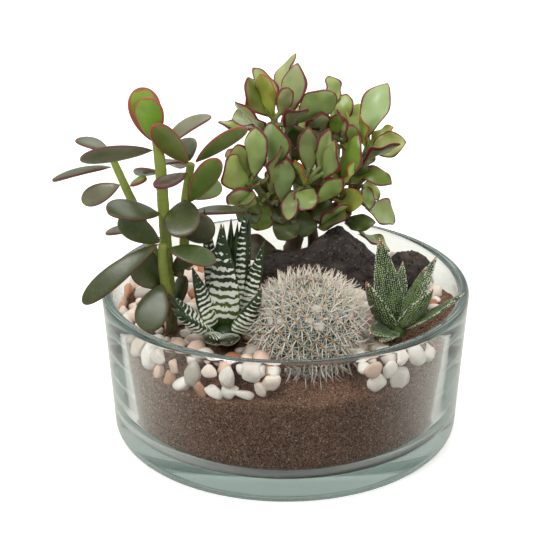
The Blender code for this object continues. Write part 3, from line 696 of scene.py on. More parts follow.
def makeCactus():
    chance = random.Random(cactus["seed"])
    centre, radius = Vector(cactus["centre"]), cactus["radius"]
    width, tall = cactus["bump"]
    skin, skinMarks = newMesh()
    for vert in bmesh.ops.create_icosphere(skin, subdivisions=5, radius=radius - 1.2)["verts"]:
        vert.co = centre + Vector((vert.co.x, vert.co.y, vert.co.z * cactus["flat"]))

    spines, spineMarks = newMesh()
    wool, woolMarks = newMesh()
    clusters = [spineCluster(chance, index > 4) for index in range(8)]
    golden = pi * (3 - sqrt(5))
    for index in range(cactus["bumps"]):
        level = 1 - 2 * (index + 0.5) / cactus["bumps"]
        if level < -0.80:
            continue
        ring = sqrt(1 - level * level)
        way = Vector((ring * cos(golden * index), ring * sin(golden * index), level))
        young = smoothStep(0.78, 1.0, level)
        across = Vector((0, 0, 1)).cross(way).normalized()
        facing = Matrix((across.cross(way), across, way)).transposed()
        facing.col[0] = -facing.col[0] if facing.col[0].z < 0 else facing.col[0]
        facing.col[1] = facing.col[2].cross(facing.col[0])
        root = centre + Vector((way.x, way.y, way.z * cactus["flat"])) * radius
        root.z -= 3.0 * smoothStep(0.90, 1.0, level)
        size = 1 - 0.40 * young
        # The green bump under each areole.
        for vert in bmesh.ops.create_icosphere(skin, subdivisions=2, radius=1)["verts"]:
            lift = max(vert.co.z, 0)
            slim = 1 - 0.45 * lift
            local = Vector((vert.co.x * slim * width, vert.co.y * slim * width, vert.co.z * tall))
            # The rim mark holds how high up its bump a point lies; the skin look paints the low
            # parts dark, as painted shade in the hollows.
            vert[skinMarks["rim"]] = lift
            vert.co = root + facing @ (local * size - Vector((0, 0, 1.2 * size)))
        tip = root + way * (tall - 1.3) * size
        # The areole, and a tuft of white wool at its side in a ring about the crown.
        spot = chance.uniform(0.75, 1.0)
        hue = blendOf(*cactus["areoles"], chance.random() ** 2)
        growBlob(wool, woolMarks, tip + way * 0.7, facing, (spot, spot, spot), hue)
        woolly = smoothStep(0.25, 0.40, level) * smoothStep(0.80, 0.62, level)
        if noise.noise(way * 2.6) > 0.12 and chance.random() < 0.9 * woolly:
            beside = root + facing @ Vector((2.0, chance.uniform(-1.5, 1.5), 0.2))
            tuft = chance.uniform(1.8, 2.8)
            growBlob(wool, woolMarks, beside, facing, (tuft * 0.8, tuft, 1.3), cactus["wool"], 3)
            if chance.random() < 0.10:
                growBlob(wool, woolMarks, beside + way * 1.4, facing, (0.7, 0.7, 0.9),
                         cactus["bud"], 2)
        # The spines, the long ones pointing down the sides.
        before = len(spines.verts)
        spines.from_mesh(clusters[chance.randrange(5) if level < 0.5 else chance.randrange(5, 8)])
        spines.verts.ensure_lookup_table()
        turn = facing @ Matrix.Rotation(chance.uniform(-0.35, 0.35), 3, "Z")
        grow = (1 - 0.25 * young) * chance.uniform(0.88, 1.10)
        warm = chance.random()
        for vert in spines.verts[before:]:
            central = vert[spineMarks["spread"]].x
            pale = blendOf(cactus["radialTint"], cactus["centralTint"],
                           central * (0.4 + 0.6 * warm))
            vert[spineMarks["tint"]] = (*pale, central * (0.35 + 0.65 * young))
            vert.co = tip + turn @ (vert.co * grow)
            vert.co.z = max(vert.co.z, soilHeight(vert.co.x, vert.co.y) + 0.2)

    look, tree, shader = newLook("cactusSkin", Roughness=0.6, Subsurface_Weight=0.08,
                                 Subsurface_Scale=0.003)
    place = placeOf(tree)
    # Painted shade: the skin is darker down between the bumps and paler on their tops.
    raised = markOf(tree, "rim")["Fac"]
    colour = mixColour(tree, raised, cactus["paintedHollowShade"], cactus["bumpTop"])
    mottle = patchOf(tree, place, 9, 0.4, 0.7, 0.5, 4)["Mask"]
    colour = mixColour(tree, mottle, colour, cactus["mottle"])
    flecks = patchOf(tree, place, 0.7, 0.60, 0.72, detail=2)
    colour = mixColour(tree, flecks["Mask"], colour, cactus["fleck"])
    wire(tree, shader, Base_Color=colour, Normal=bumpOf(tree, flecks["Cloud"], 0.3, 0.2))
    finishPiece("cactusBody", skin, look, "cactus_skin", ["cactus"])

    look, tree, shader = newLook("cactusSpine", Roughness=0.45, Subsurface_Weight=0.2,
                                 Subsurface_Scale=0.0006)
    tint = markOf(tree, "tint")
    fibre = patchOf(tree, placeOf(tree), 0.8, 0.35, 0.85, 0.15, 2)["Mask"]
    colour = mixColour(tree, fibre, tint["Color"], cactus["fibre"])
    # Brown tips, longest at the crown.
    colour = stain(tree, colour, markOf(tree, "rim")["Fac"], 0.66, 0.95,
                   cactus["tipTint"], tint["Alpha"])
    wire(tree, shader, Base_Color=colour)
    finishPiece("cactusSpines", spines, look, "cactus_skin")

    look, tree, shader = newLook("cactusWool", Roughness=1.0)
    tint = markOf(tree, "tint")["Color"]
    fluff = patchOf(tree, placeOf(tree), 0.5, 0.3, 0.6, 1.0, 3, 0.8)
    shaded = mixColour(tree, 0.45, tint, cactus["woolShade"])
    wire(tree, shader, Base_Color=mixColour(tree, fluff["Mask"], shaded, tint),
         Normal=bumpOf(tree, fluff["Cloud"], 0.9, 0.3))
    finishPiece("cactusWool", wool, look, "cactus_skin")


makeCactus()
print("stage: cactus")


# Leaves and stems


def onBall(spot):
    # How far along the ball a point lies, from 0 to 1, and its direction across.
    around = sqrt(max(1 - spot.z ** 2, 1e-12))
    return min(max((1 + spot.z) / 2, 0.0), 1.0), spot.x / around, spot.y / around


def growLeaf(bm, marks, base, heading, rise, length, width, roll, bend, form, tint, edge,
             rings=26, sides=18, phase=0.0):
    # One leaf. Angles are in degrees; bend is how far the blade turns up by its tip.
    forward = towards(heading, rise)
    side = Vector((-sin(radians(heading)), cos(radians(heading)), 0))
    face = forward.cross(side)
    twist = Matrix.Rotation(radians(roll), 3, forward)
    side, face = twist @ side, twist @ face
    # The outline is along ** base * (1 - along) ** tip, and widest at the peak.
    peak = form["base"] / (form["base"] + form["tip"])
    fullest = peak ** form["base"] * (1 - peak) ** form["tip"]
    bend = radians(bend) or 1e-4
    made = bmesh.ops.create_uvsphere(bm, u_segments=sides, v_segments=rings, radius=1)["verts"]
    for vert in made:
        along, across, depth = onBall(vert.co)
        blade = along ** form["base"] * max(1 - along, 0) ** form["tip"] / fullest
        if blade < 1e-6:
            across = depth = 0.0  # both ends close in a point
        body = form["thick"] / 2 * min(1.0, 1.6 * sin(pi * min(along, 0.5)) + 0.25)
        bulge = 1.0 - form.get("thin", 0.0) * abs(across) ** 2
        depthMm = body * sqrt(blade) * depth * bulge
        depthMm += form["channel"] * width * blade * across ** 2
        ripple = sin(2 * pi * form["waves"] * along + across + phase)
        depthMm += form["wave"] * ripple * abs(across) ** 1.5 * blade
        acrossMm = width / 2 * blade * across
        rim = min(width / 2 * blade * (1 - abs(across)), length * (1 - along) * 0.9)
        vert[marks["rim"]] = rim
        vert[marks["spread"]] = (acrossMm + 40, along * length, depth)
        vert[marks["tint"]] = (*tint, along)
        vert[marks["edge"]] = (*edge, form.get("rimWidth", 1.0))
        turned = bend * along
        upright = face * cos(turned) - forward * sin(turned)
        vert.co = (Vector(base) + forward * (length / bend * sin(turned))
                   + face * (length / bend * (1 - cos(turned)))
                   + side * acrossMm + upright * depthMm)
    return made


def curvePoint(points, share):
    # A point on the smooth curve through the points, share running from 0 to 1.
    spans = len(points) - 1
    index = min(int(share * spans), spans - 1)
    local = share * spans - index
    a, b, c, d = [Vector(points[min(max(index + step, 0), spans)]) for step in (-1, 0, 1, 2)]
    return 0.5 * (2 * b + (c - a) * local + (2 * a - 5 * b + 4 * c - d) * local ** 2
                  + (3 * b - a - 3 * c + d) * local ** 3)


def radiusAt(radii, share):
    spot = share * (len(radii) - 1)
    index = min(int(spot), len(radii) - 2)
    return radii[index] + (radii[index + 1] - radii[index]) * (spot - index)


def growStem(bm, marks, points, radii, rings=60, sides=14, knots=0.0):
    # A round stem with rounded ends; its rim mark is the height along it.
    total = sum((Vector(b) - Vector(a)).length for a, b in zip(points, points[1:]))
    made = bmesh.ops.create_uvsphere(bm, u_segments=sides, v_segments=rings, radius=1)["verts"]
    for vert in made:
        share, *across = onBall(vert.co)
        way = Vector(across)
        before = curvePoint(points, max(share - 0.02, 0))
        ahead = (curvePoint(points, min(share + 0.02, 1)) - before).normalized()
        right = ahead.cross(Vector((0, 1, 0.1))).normalized()
        back = right.cross(ahead)
        radius = radiusAt(radii, share)
        end = min(1.0, sqrt(max(1 - share, 0) * total * 2 / radius + 1e-9),
                  sqrt(share * total * 2 / radius + 1e-9))
        ringing = knots * max(0.0, cos(2 * pi * share * total / 9)) ** 8  # knots 9 mm apart
        spot = curvePoint(points, share)
        rough = 1 + 0.05 * noise.noise(spot / 4 + Vector((way.x, way.y, 0))) + ringing
        vert.co = spot + (right * way.x + back * way.y) * radius * end * rough
        vert[marks["rim"]] = share
        vert[marks["spread"]] = (way.x * radius, share * total, way.y * radius)
        vert[marks["tint"]] = (1, 1, 1, 1)
    return made


def newLeafMesh():
    bm, marks = newMesh()
    marks["edge"] = bm.verts.layers.float_color.new("edge")
    return bm, marks


# What all leaves and all stems have over their own colours.
leafTints = {
    "cloud": (0.30, 0.34, 0.16), "shade": (0.03, 0.05, 0.010), "bloom": (0.42, 0.46, 0.36),
    "freckle": (0.45, 0.50, 0.33), "bloomShare": 0.07, "freckleShare": 0.12,
}
stemTints = {"ring": (0.16, 0.12, 0.06), "grain": (0.30, 0.27, 0.16)}


def makeFlesh():
    # Leaf flesh with a coloured margin, a waxy bloom and fine freckles.
    inputs = {"Place": "Vector", "Tint": "Color", "Margin": "Color"}
    for label in ("Margin Width", "Margin Share", "Rim", "Freckles", "Bloom"):
        inputs[label] = "Float"
    group, given, result = newGroup("leafFlesh", inputs, {"Colour": "Color", "Wax": "Float"})
    place = given["Place"]
    clouds = noiseOf(group, place, 8, 4, 0.6)
    colour = stain(group, given["Tint"], clouds, 0.40, 0.75, leafTints["cloud"], 0.14)
    shade = noiseOf(group, place, 15, 2)
    colour = stain(group, colour, shade, 0.62, 0.38, leafTints["shade"], 0.30)
    wax = noiseOf(group, place, 3, 5, 0.7)
    colour = stain(group, colour, wax, 0.50, 0.75, leafTints["bloom"], given["Bloom"])
    dots = cellsOf(group, place, 1.0)["Distance"]
    colour = stain(group, colour, dots, 0.22, 0.08, leafTints["freckle"], given["Freckles"])
    # The margin, of an uneven width.
    uneven = mathOf(group, "MULTIPLY_ADD", clouds, 1.4, 0.2)
    width = mathOf(group, "MULTIPLY", given["Margin Width"], uneven)
    band = addNode(group, "MapRange", {"Value": given["Rim"], "From Max": width,
                                       "From Min": mathOf(group, "MULTIPLY", width, 0.45),
                                       "To Min": 1.0, "To Max": 0.0},
                   interpolation_type="SMOOTHSTEP").outputs["Result"]
    share = mathOf(group, "MULTIPLY", band, given["Margin Share"])
    colour = mixColour(group, share, colour, given["Margin"])
    group.links.new(colour, result["Colour"])
    group.links.new(wax, result["Wax"])
    return group


def makeBark():
    # Bark at the foot that turns to green flesh above.
    inputs = {"Place": "Vector", "Along": "Vector", "Height": "Float", "Foot": "Color",
              "Top": "Color", "Turn Start": "Float", "Turn End": "Float"}
    outputs = {"Colour": "Color", "Rings": "Float", "Grain": "Float"}
    group, given, result = newGroup("stemBark", inputs, outputs)
    patch = noiseOf(group, given["Place"], 6, 4, 0.6)
    uneven = mathOf(group, "MULTIPLY_ADD", patch, 0.5, -0.25)
    height = mathOf(group, "ADD", given["Height"], uneven)
    colour = stain(group, given["Foot"], height, given["Turn Start"], given["Turn End"],
                   given["Top"])
    rings = addNode(group, "TexWave", {"Vector": given["Along"], "Scale": 0.12,
                                       "Distortion": 4.0, "Detail": 3.0},
                    bands_direction="Y").outputs["Fac"]
    colour = stain(group, colour, rings, 0.75, 0.97, stemTints["ring"], 0.16)
    grain = noiseOf(group, given["Place"], 1.2, 4, 0.7)
    colour = stain(group, colour, grain, 0.5, 0.8, stemTints["grain"], 0.4)
    for label, value in (("Colour", colour), ("Rings", rings), ("Grain", grain)):
        group.links.new(value, result[label])
    return group


flesh = makeFlesh()
bark = makeBark()


def leafLook(name, gloss):
    look, tree, shader = newLook(name, Roughness=gloss["roughness"], Specular_IOR_Level=0.40,
                                 Coat_Weight=gloss["coat"], Coat_Roughness=0.25,
                                 Subsurface_Weight=gloss["glow"], Subsurface_Scale=0.004)
    edge = markOf(tree, "edge")
    leaf = addNode(tree, "Group", {
        "Place": placeOf(tree), "Tint": markOf(tree, "tint")["Color"],
        "Margin": edge["Color"], "Margin Width": edge["Alpha"], "Margin Share": gloss["margin"],
        "Rim": markOf(tree, "rim")["Fac"], "Freckles": leafTints["freckleShare"],
        "Bloom": leafTints["bloomShare"],
    }, node_tree=flesh).outputs
    wire(tree, shader, Base_Color=leaf["Colour"], Normal=bumpOf(tree, leaf["Wax"], 0.25, 0.25),
         Roughness=mathOf(tree, "MULTIPLY_ADD", leaf["Wax"], 0.3, gloss["roughness"] - 0.15))
    return look


def stemLook(name, plant):
    look, tree, shader = newLook(name, Roughness=0.6)
    stem = addNode(tree, "Group", {
        "Place": placeOf(tree), "Along": markOf(tree, "spread")["Vector"],
        "Height": markOf(tree, "rim")["Fac"], "Foot": (*plant["bark"], 1),
        "Top": (*plant["greenStem"], 1), "Turn Start": plant["turnsGreen"][0],
        "Turn End": plant["turnsGreen"][1],
    }, node_tree=bark).outputs
    rough = bumpOf(tree, stem["Grain"], 0.5, 0.4)
    wire(tree, shader, Base_Color=stem["Colour"],
         Normal=bumpOf(tree, stem["Rings"], 0.2, 0.3, rough))
    return look


# Jade plant

jade = {
    "seed": 3, "gap": 0.3, "rimWidth": 0.8,
    "form": {"base": 0.85, "tip": 0.5, "thick": 3.2, "channel": 0.05, "wave": 0.0, "waves": 1.0},
    "redRims": {"top_front": 1.5, "top_back": 2.6, "gloss": 1.4, "green": 1.2},
    "bark": (0.070, 0.055, 0.018), "greenStem": (0.24, 0.30, 0.045), "turnsGreen": (0.02, 0.42),
    "gloss": {"roughness": 0.34, "coat": 0.13, "glow": 0.10, "margin": 0.85},
}
jade["stems"] = {
    "main": ([(-60, -37, 72), (-61, -38, 100), (-62, -39, 124), (-63, -40, 150), (-64, -41, 172),
              (-66, -41, 182)], (3.2, 3.1, 3.0, 3.0, 2.9, 1.7)),
    "front": ([(-61.8, -44.1, 99), (-62.7, -46, 107), (-63.2, -49, 118), (-63, -51, 130)],
              (2.8, 2.6, 2.6, 2.2)),
    "left": ([(-65.9, -35.6, 112), (-70, -33, 121), (-75, -32, 136), (-80, -32, 147),
              (-90, -30, 171)], (2.4, 2.4, 2.4, 2.3, 1.8)),
    "right": ([(-55.4, -35.4, 109), (-53.2, -32, 118), (-52.8, -30, 131), (-51.8, -31, 147),
               (-48.5, -32, 167)], (2.6, 2.6, 2.5, 2.4, 2.1)),
}
# Name, stem, level, heading, rise, length, width, roll, bend.
jade["leaves"] = [
    ("top_front", "main", 182, -115, 75, 25, 15, 15, 10),
    ("top_back", "main", 181, 145, 75, 28, 17, -35, -8),
    ("top_left", "main", 177, -160, 0, 38, 16, 50, 0),
    ("top_right", "main", 176, 35, 45, 32, 15, -5, -40),
    ("mid_left", "main", 164, 120, -15, 26, 9, 30, -10),
    ("mid_right", "main", 168, 72, -5, 27, 13, 0, -35),
    ("dark_left", "main", 143, -130, 25, 36, 19, -20, -20),
    ("far_left", "left", 130, 165, -5, 20, 12, 0, -15),
    ("dark_low", "main", 109, -18, 44, 16, 12, -50, 0),
    ("gloss", "right", 167, -125, 45, 38, 12, 60, 5),
    ("red_edge", "right", 167, -15, 40, 35, 14, -40, -5),
    ("behind", "right", 167, 110, 20, 20, 15, -20, -15),
    ("maroon", "right", 162, -115, 5, 36, 9, -20, 5),
    ("green", "right", 145, -35, 55, 33, 13, -50, 5),
    ("pale", "right", 146, 40, 15, 21, 14, 35, -10),
    ("oval", "right", 147, -95, -15, 25, 19, 10, -30),
    ("brown_right", "main", 138, 3, -18, 24, 18, -80, -10),
    ("edge_right", "right", 137, 35, -3, 35, 13, 0, -12),
    ("curve_left", "left", 164, 175, -5, 33, 10, 0, -20),
    ("down_left", "left", 157, 175, -25, 23, 11, -60, -5),
    ("small_right", "left", 155, 10, 30, 10, 8, 0, -10),
    ("tip_left", "left", 172, 145, 15, 21, 12, 0, -15),
    ("front_oval", "front", 131, -165, 35, 25, 14, -100, -15),
    ("front_right", "front", 127, -15, -5, 26, 13, 25, -15),
    ("front_grey", "front", 130, -155, -25, 50, 12, -40, -30),
    ("front_low", "front", 106, -120, -50, 26, 18, -10, -5),
    ("front_olive", "front", 102, 175, 50, 23, 20, -40, 15),
    ("ground_brown", "main", 86, 35, 72, 19, 10, 10, 0),
]
# Face and margin colours, and the leaves that have them.
jade["tints"] = {
    "bright": ((0.20, 0.34, 0.022), (0.36, 0.03, 0.035), ("top_front", "top_back")),
    "grey": ((0.084, 0.104, 0.036), (0.14, 0.018, 0.035),
             ("mid_left", "far_left", "curve_left", "tip_left")),
    "silver": ((0.165, 0.170, 0.082), (0.16, 0.025, 0.04),
               ("top_left", "mid_right", "top_right", "down_left")),
    "deep": ((0.045, 0.062, 0.014), (0.13, 0.02, 0.025),
             ("dark_left", "dark_low", "front_low", "ground_brown", "front_grey")),
    "glossy": ((0.115, 0.180, 0.024), (0.32, 0.03, 0.035), ("gloss", "green")),
    "fresh": ((0.15, 0.22, 0.05), (0.34, 0.04, 0.04), ("red_edge", "small_right", "pale")),
    "olive": ((0.060, 0.082, 0.020), (0.15, 0.025, 0.03),
              ("behind", "oval", "front_right", "front_olive", "front_oval")),
    "dull": ((0.075, 0.075, 0.035), (0.12, 0.03, 0.025), ("brown_right", "edge_right")),
    "purple": ((0.10, 0.050, 0.045), (0.16, 0.02, 0.035), ("maroon",)),
}


def jadeBase(stem, level, heading):
    points, radii = jade["stems"][stem]
    low, high = points[0][2], points[-1][2]
    share = min(max((level - low) / (high - low), 0), 1)
    # The stem is a curve, so the share at which it reaches the level is found in steps.
    for _ in range(12):
        share += (level - curvePoint(points, share).z) / (high - low)
        share = min(max(share, 0), 1)
    centre = curvePoint(points, share)
    radius = radiusAt(radii, share)
    out = towards(heading)
    if level > high:  # a leaf on the very top
        return centre + Vector((0, 0, 0.6)) + out * radius * 0.6
    return centre + out * (radius + jade["gap"]) * 0.9


def makeJade():
    look = stemLook("jadeBark", jade)
    for name, (points, radii) in jade["stems"].items():
        bm, marks = newMesh()
        if name != "main":
            points = [tuple(Vector(points[0]).lerp(Vector(points[1]), -0.45)), *points]
            radii = (radii[0], *radii)
        growStem(bm, marks, points, radii, rings=110, sides=18, knots=0.035)
        finishPiece("jadeStem" + name.title(), bm, look, "jade_stem", ["jade_stem_" + name])

    look = leafLook("jadeFlesh", jade["gloss"])
    chance = random.Random(jade["seed"])
    for name, stem, level, heading, rise, length, width, roll, bend in jade["leaves"]:
        tint, edge = next(row[:2] for row in jade["tints"].values() if name in row[2])
        tint = [channel * chance.uniform(0.9, 1.12) for channel in tint]
        bm, marks = newLeafMesh()
        base = jadeBase(stem, level, heading)
        form = {**jade["form"], "rimWidth": jade["redRims"].get(name, jade["rimWidth"])}
        growLeaf(bm, marks, base, heading, rise, length, width, roll, bend, form,
                 tint, edge, rings=40, sides=26, phase=chance.uniform(0, 6))
        piece = "jadeLeaf" + name.title().replace("_", "")
        finishPiece(piece, bm, look, "jade_leaf", ["jade_leaf_" + name])


makeJade()
print("stage: jade")


# Ripple jade

ripple = {
    "seed": 5, "turn": 137.5, "bark": (0.095, 0.062, 0.038), "greenStem": (0.17, 0.18, 0.07),
    "turnsGreen": (0.35, 0.95), "inner": "ddggm", "innerAt": (0.46, 0.58, 0.70, 0.80, 0.90),
    "gloss": {"roughness": 0.36, "coat": 0.25, "glow": 0.15, "margin": 1.0},
    "form": {"base": 1.15, "tip": 0.85, "thick": 2.2, "channel": 0.14, "wave": 1.6,
             "waves": 1.7, "rimWidth": 0.9},
    "rimWidths": {"y": 0.8, "c": 2.4, "d": 0.9}, "rimWidth": 1.6,
}
ripple["stems"] = [
    ([(3, 40, 70), (3, 40, 84), (6, 41, 99), (2, 38, 116), (-6, 35, 138), (-6, 35, 170)],
     (5.2, 4.9, 4.4, 3.4, 2.6, 1.8)),
    ([(5, 42, 70), (14, 46, 79), (16, 46, 90), (15, 45, 104), (16, 43, 122), (22, 46, 140),
      (27, 50, 155)],
     (3.4, 3.4, 3.2, 2.9, 2.7, 2.3, 1.8)),
    ([(5, 41, 98), (-4, 36, 110), (-10, 31, 122), (-18, 26, 134)], (3.2, 2.7, 2.3, 1.8)),
    ([(6, 41, 98), (9, 36, 112), (11, 30, 132)], (3.0, 2.5, 1.8)),
    ([(15, 45, 104), (26, 43, 112), (40, 45, 124), (46, 46, 149)], (2.8, 2.5, 2.2, 1.8)),
    ([(16, 44, 112), (26, 36, 122), (33, 32, 133)], (2.6, 2.2, 1.8)),
    ([(0, 37, 124), (4, 45, 140), (6, 50, 164)], (2.5, 2.1, 1.7)),
    ([(14, 46, 96), (8, 60, 112), (4, 70, 134)], (2.8, 2.4, 1.8)),
    ([(16, 46, 106), (28, 60, 118), (34, 68, 130)], (2.6, 2.2, 1.8)),
]
# A letter that names its colours, then base, heading, rise, length, width, roll, bend.
ripple["leaves"] = [
    # Crown left
    ("m", (-6, 40, 169), 155, 70, 28, 16, -15, -20),
    ("g", (-9, 34, 169), -155, 60, 28, 17, 125, -5),
    ("y", (-7, 32, 170), -145, 75, 28, 11, 40, -10),
    ("p", (-3, 32, 170), -50, 70, 21, 10, -35, -10),
    ("m", (-11, 30, 161), -130, 45, 34, 16, -10, 0),
    ("m", (-15, 37, 162), -150, 35, 17, 17, -15, -25),
    ("m", (-16, 40, 160), -165, 10, 23, 7, -25, 15),
    # Crown top
    ("p", (1, 43, 165), -50, 80, 33, 15, -70, 15),
    ("p", (-1, 48, 166), 130, 80, 35, 16, -105, -40),
    ("m", (6, 41, 163), -15, 45, 31, 18, -70, -15),
    ("c", (0, 29, 163), -60, 55, 29, 13, -5, -30),
    # Upper middle
    ("m", (26, 57, 167), 85, 75, 18, 16, 55, -20),
    ("m", (31, 56, 157), 55, 75, 18, 13, 15, -15),
    ("p", (34, 48, 148), -135, 65, 25, 11, -15, 10),
    ("g", (28, 46, 153), -90, 65, 20, 10, 0, -10),
    ("c", (24, 48, 155), -130, 45, 24, 15, 45, -25),
    ("m", (34, 48, 144), 45, 75, 16, 15, 20, -10),
    # Right top
    ("p", (44, 46, 151), 25, 75, 35, 18, 30, -30),
    ("y", (40, 50, 154), 85, 50, 19, 14, 0, -10),
    ("y", (45, 43, 149), -130, 75, 21, 7, -25, -5),
    ("y", (47, 46, 149), -10, 60, 17, 7, 35, -55),
    ("m", (47, 43, 148), -30, 20, 22, 15, 70, -15),
    ("c", (42, 38, 141), -40, 40, 33, 11, -20, -15),
    ("m", (38, 54, 151), 95, 50, 21, 12, 0, -10),
    # Left front
    ("p", (-8, 26, 139), -70, 70, 39, 18, -55, -15),
    ("p", (-17, 20, 138), -85, 70, 36, 14, -25, 5),
    ("m", (-21, 26, 133), -120, 70, 29, 14, 30, -5),
    ("m", (-19, 20, 132), -140, 50, 30, 19, 105, -10),
    ("m", (-9, 21, 135), -55, 65, 28, 14, 35, 0),
    ("g", (-23, 32, 139), -160, 65, 16, 15, 45, -10),
    ("d", (-7, 38, 148), -150, 75, 18, 16, 40, -10),
    # Low left
    ("m", (-14, 24, 119), -130, 35, 34, 15, 55, -10),
    ("b", (-4, 39, 88), -150, 20, 27, 15, -60, -20),
    ("m", (-8, 28, 125), -65, 60, 32, 14, -15, -10),
    ("g", (-12, 32, 122), -110, -55, 18, 17, -20, -25),
    ("m", (-27, 14, 124), -50, 50, 17, 13, 45, -40),
    ("d", (-15, 22, 123), -130, -15, 16, 16, -40, -20),
    ("d", (-13, 24, 125), -135, -10, 13, 14, -30, -20),
    ("d", (3, 36, 130), -160, 65, 19, 15, 45, -10),
    ("d", (-2, 36, 120), -160, 45, 17, 15, 60, -10),
    # Centre front
    ("p", (-2, 26, 120), -80, 70, 37, 13, -5, -10),
    ("p", (13, 28, 137), -95, 70, 35, 12, 15, 0),
    ("y", (11, 25, 132), -105, 50, 30, 8, -35, -5),
    ("m", (4, 24, 131), -100, -35, 19, 10, -5, -25),
    ("m", (16, 26, 131), -120, -20, 17, 14, -20, -25),
    ("d", (9, 42, 146), -140, 70, 19, 15, 35, -10),
    ("d", (17, 44, 145), -35, 85, 17, 15, 50, -10),
    ("d", (8, 38, 122), -35, 40, 16, 15, -60, -10),
    # Right front
    ("p", (18, 28, 138), -60, 70, 32, 10, -10, 0),
    ("m", (20, 22, 137), -70, 60, 32, 16, -90, 5),
    ("g", (32, 30, 129), -25, 85, 32, 14, -110, 30),
    ("y", (32, 25, 134), -40, 50, 16, 9, 10, 30),
    ("d", (25, 38, 125), -20, 65, 18, 15, -55, -10),
    # Low middle
    ("m", (16, 24, 122), -45, 45, 32, 11, -65, -10),
    ("m", (18, 28, 106), -30, 50, 28, 11, -25, -15),
    ("d", (19, 30, 107), -55, 30, 25, 18, 30, -10),
    ("d", (7, 30, 115), -135, -35, 19, 16, -40, -25),
    ("d", (11, 32, 116), -95, -45, 16, 15, 0, -25),
    ("d", (15, 34, 118), -45, -10, 14, 15, 40, -20),
    ("d", (0, 32, 116), -135, -15, 11, 14, -30, -20),
    ("d", (26, 36, 113), -45, 15, 14, 14, 40, -20),
    ("d", (33, 36, 106), -50, 20, 22, 10, 70, -30),
    # Far right
    ("g", (38, 45, 133), -45, 10, 27, 13, 25, -25),
    ("y", (28, 36, 119), -45, 20, 21, 14, 80, -10),
    ("m", (44, 46, 126), -75, -30, 17, 9, -5, -25),
    ("m", (45, 49, 110), 0, -15, 20, 20, 25, -25),
    ("m", (41, 42, 97), -15, -10, 21, 11, 0, -30),
    ("m", (43, 48, 118), 15, 20, 11, 14, 40, -20),
    # Back left
    ("p", (4, 71, 134), 80, 70, 30, 15, 0, -10),
    ("m", (1, 70, 132), 160, 50, 27, 14, 0, -20),
    ("m", (8, 70, 131), 10, 50, 26, 13, 0, -20),
    ("g", (4, 72, 128), 110, 25, 25, 14, 0, -35),
    ("m", (-3, 69, 126), -170, 30, 25, 14, 0, -30),
    # Back right
    ("m", (34, 69, 130), 50, 65, 28, 14, 0, -10),
    ("p", (36, 68, 128), 0, 40, 24, 14, 0, -20),
    ("m", (31, 68, 128), 130, 45, 24, 13, 0, -20),
    ("g", (36, 70, 124), 60, 10, 22, 13, 0, -35),
    ("m", (28, 68, 122), 150, 15, 22, 13, 0, -35),
]
# Face and margin colours: pale, middle, yellowish, green, dark, coppery, brown.
ripple["tints"] = {
    "p": ((0.38, 0.48, 0.19), (0.20, 0.035, 0.045)),
    "m": ((0.35, 0.45, 0.135), (0.18, 0.025, 0.035)),
    "y": ((0.38, 0.50, 0.075), (0.42, 0.09, 0.03)),
    "g": ((0.19, 0.28, 0.032), (0.18, 0.03, 0.03)),
    "d": ((0.085, 0.125, 0.024), (0.12, 0.02, 0.025)),
    "c": ((0.22, 0.25, 0.10), (0.15, 0.015, 0.03)),
    "b": ((0.080, 0.055, 0.022), (0.10, 0.03, 0.025)),
}


def nearestOnShoots(place):
    spots = [curvePoint(points, step / 41) for points, radii in ripple["stems"]
             for step in range(41)]
    return min(spots, key=lambda spot: (spot - place).length)


def makeRipple():
    bm, marks = newMesh()
    for points, radii in ripple["stems"]:
        growStem(bm, marks, points, radii, rings=64, sides=14, knots=0.12)
    look = stemLook("rippleBark", ripple)
    finishPiece("rippleStems", bm, look, "jade_stem")

    chance = random.Random(ripple["seed"])
    look = leafLook("rippleFlesh", ripple["gloss"])
    bm, marks = newLeafMesh()
    for kind, base, heading, rise, length, width, roll, bend in ripple["leaves"]:
        tint, edge = ripple["tints"][kind]
        tint = [channel * chance.uniform(0.88, 1.12) for channel in tint]
        rimWidth = ripple["rimWidths"].get(kind, ripple["rimWidth"]) * chance.uniform(0.8, 1.2)
        growLeaf(bm, marks, base, heading, rise, length, width, roll, bend,
                 {**ripple["form"], "rimWidth": rimWidth}, tint, edge,
                 rings=26, sides=18, phase=chance.uniform(0, 6))
        # Its stalk, from the nearest shoot to just inside the blade.
        inside = Vector(base) + towards(heading, rise) * length * 0.2
        root = nearestOnShoots(Vector(base))
        stalk = growStem(bm, marks, [tuple(root), tuple(inside)], (1.6, 1.1), 8, 8)
        for vert in stalk:
            vert[marks["rim"]] = 5
            vert[marks["tint"]] = (*tint, 0)
            vert[marks["edge"]] = (*edge, 0.5)
    # Young dark leaves inside, which close the gaps between the shoots.
    turn = 0
    for points, radii in ripple["stems"]:
        for share in ripple["innerAt"]:
            turn += ripple["turn"]
            length = chance.uniform(14, 19)
            out = towards(turn)
            tint, edge = ripple["tints"][chance.choice(ripple["inner"])]
            growLeaf(bm, marks, curvePoint(points, share) + out * 1.2, turn, chance.uniform(5, 50),
                     length, length * chance.uniform(0.55, 0.68), chance.uniform(-25, 25),
                     chance.uniform(10, 40), ripple["form"], tint, edge, rings=20, sides=14,
                     phase=chance.uniform(0, 6))
    finishPiece("rippleLeaves", bm, look, "ripple_jade_leaf", ["ripple_jade"])


makeRipple()
print("stage: ripple jade")


# Zebra and pearl haworthias

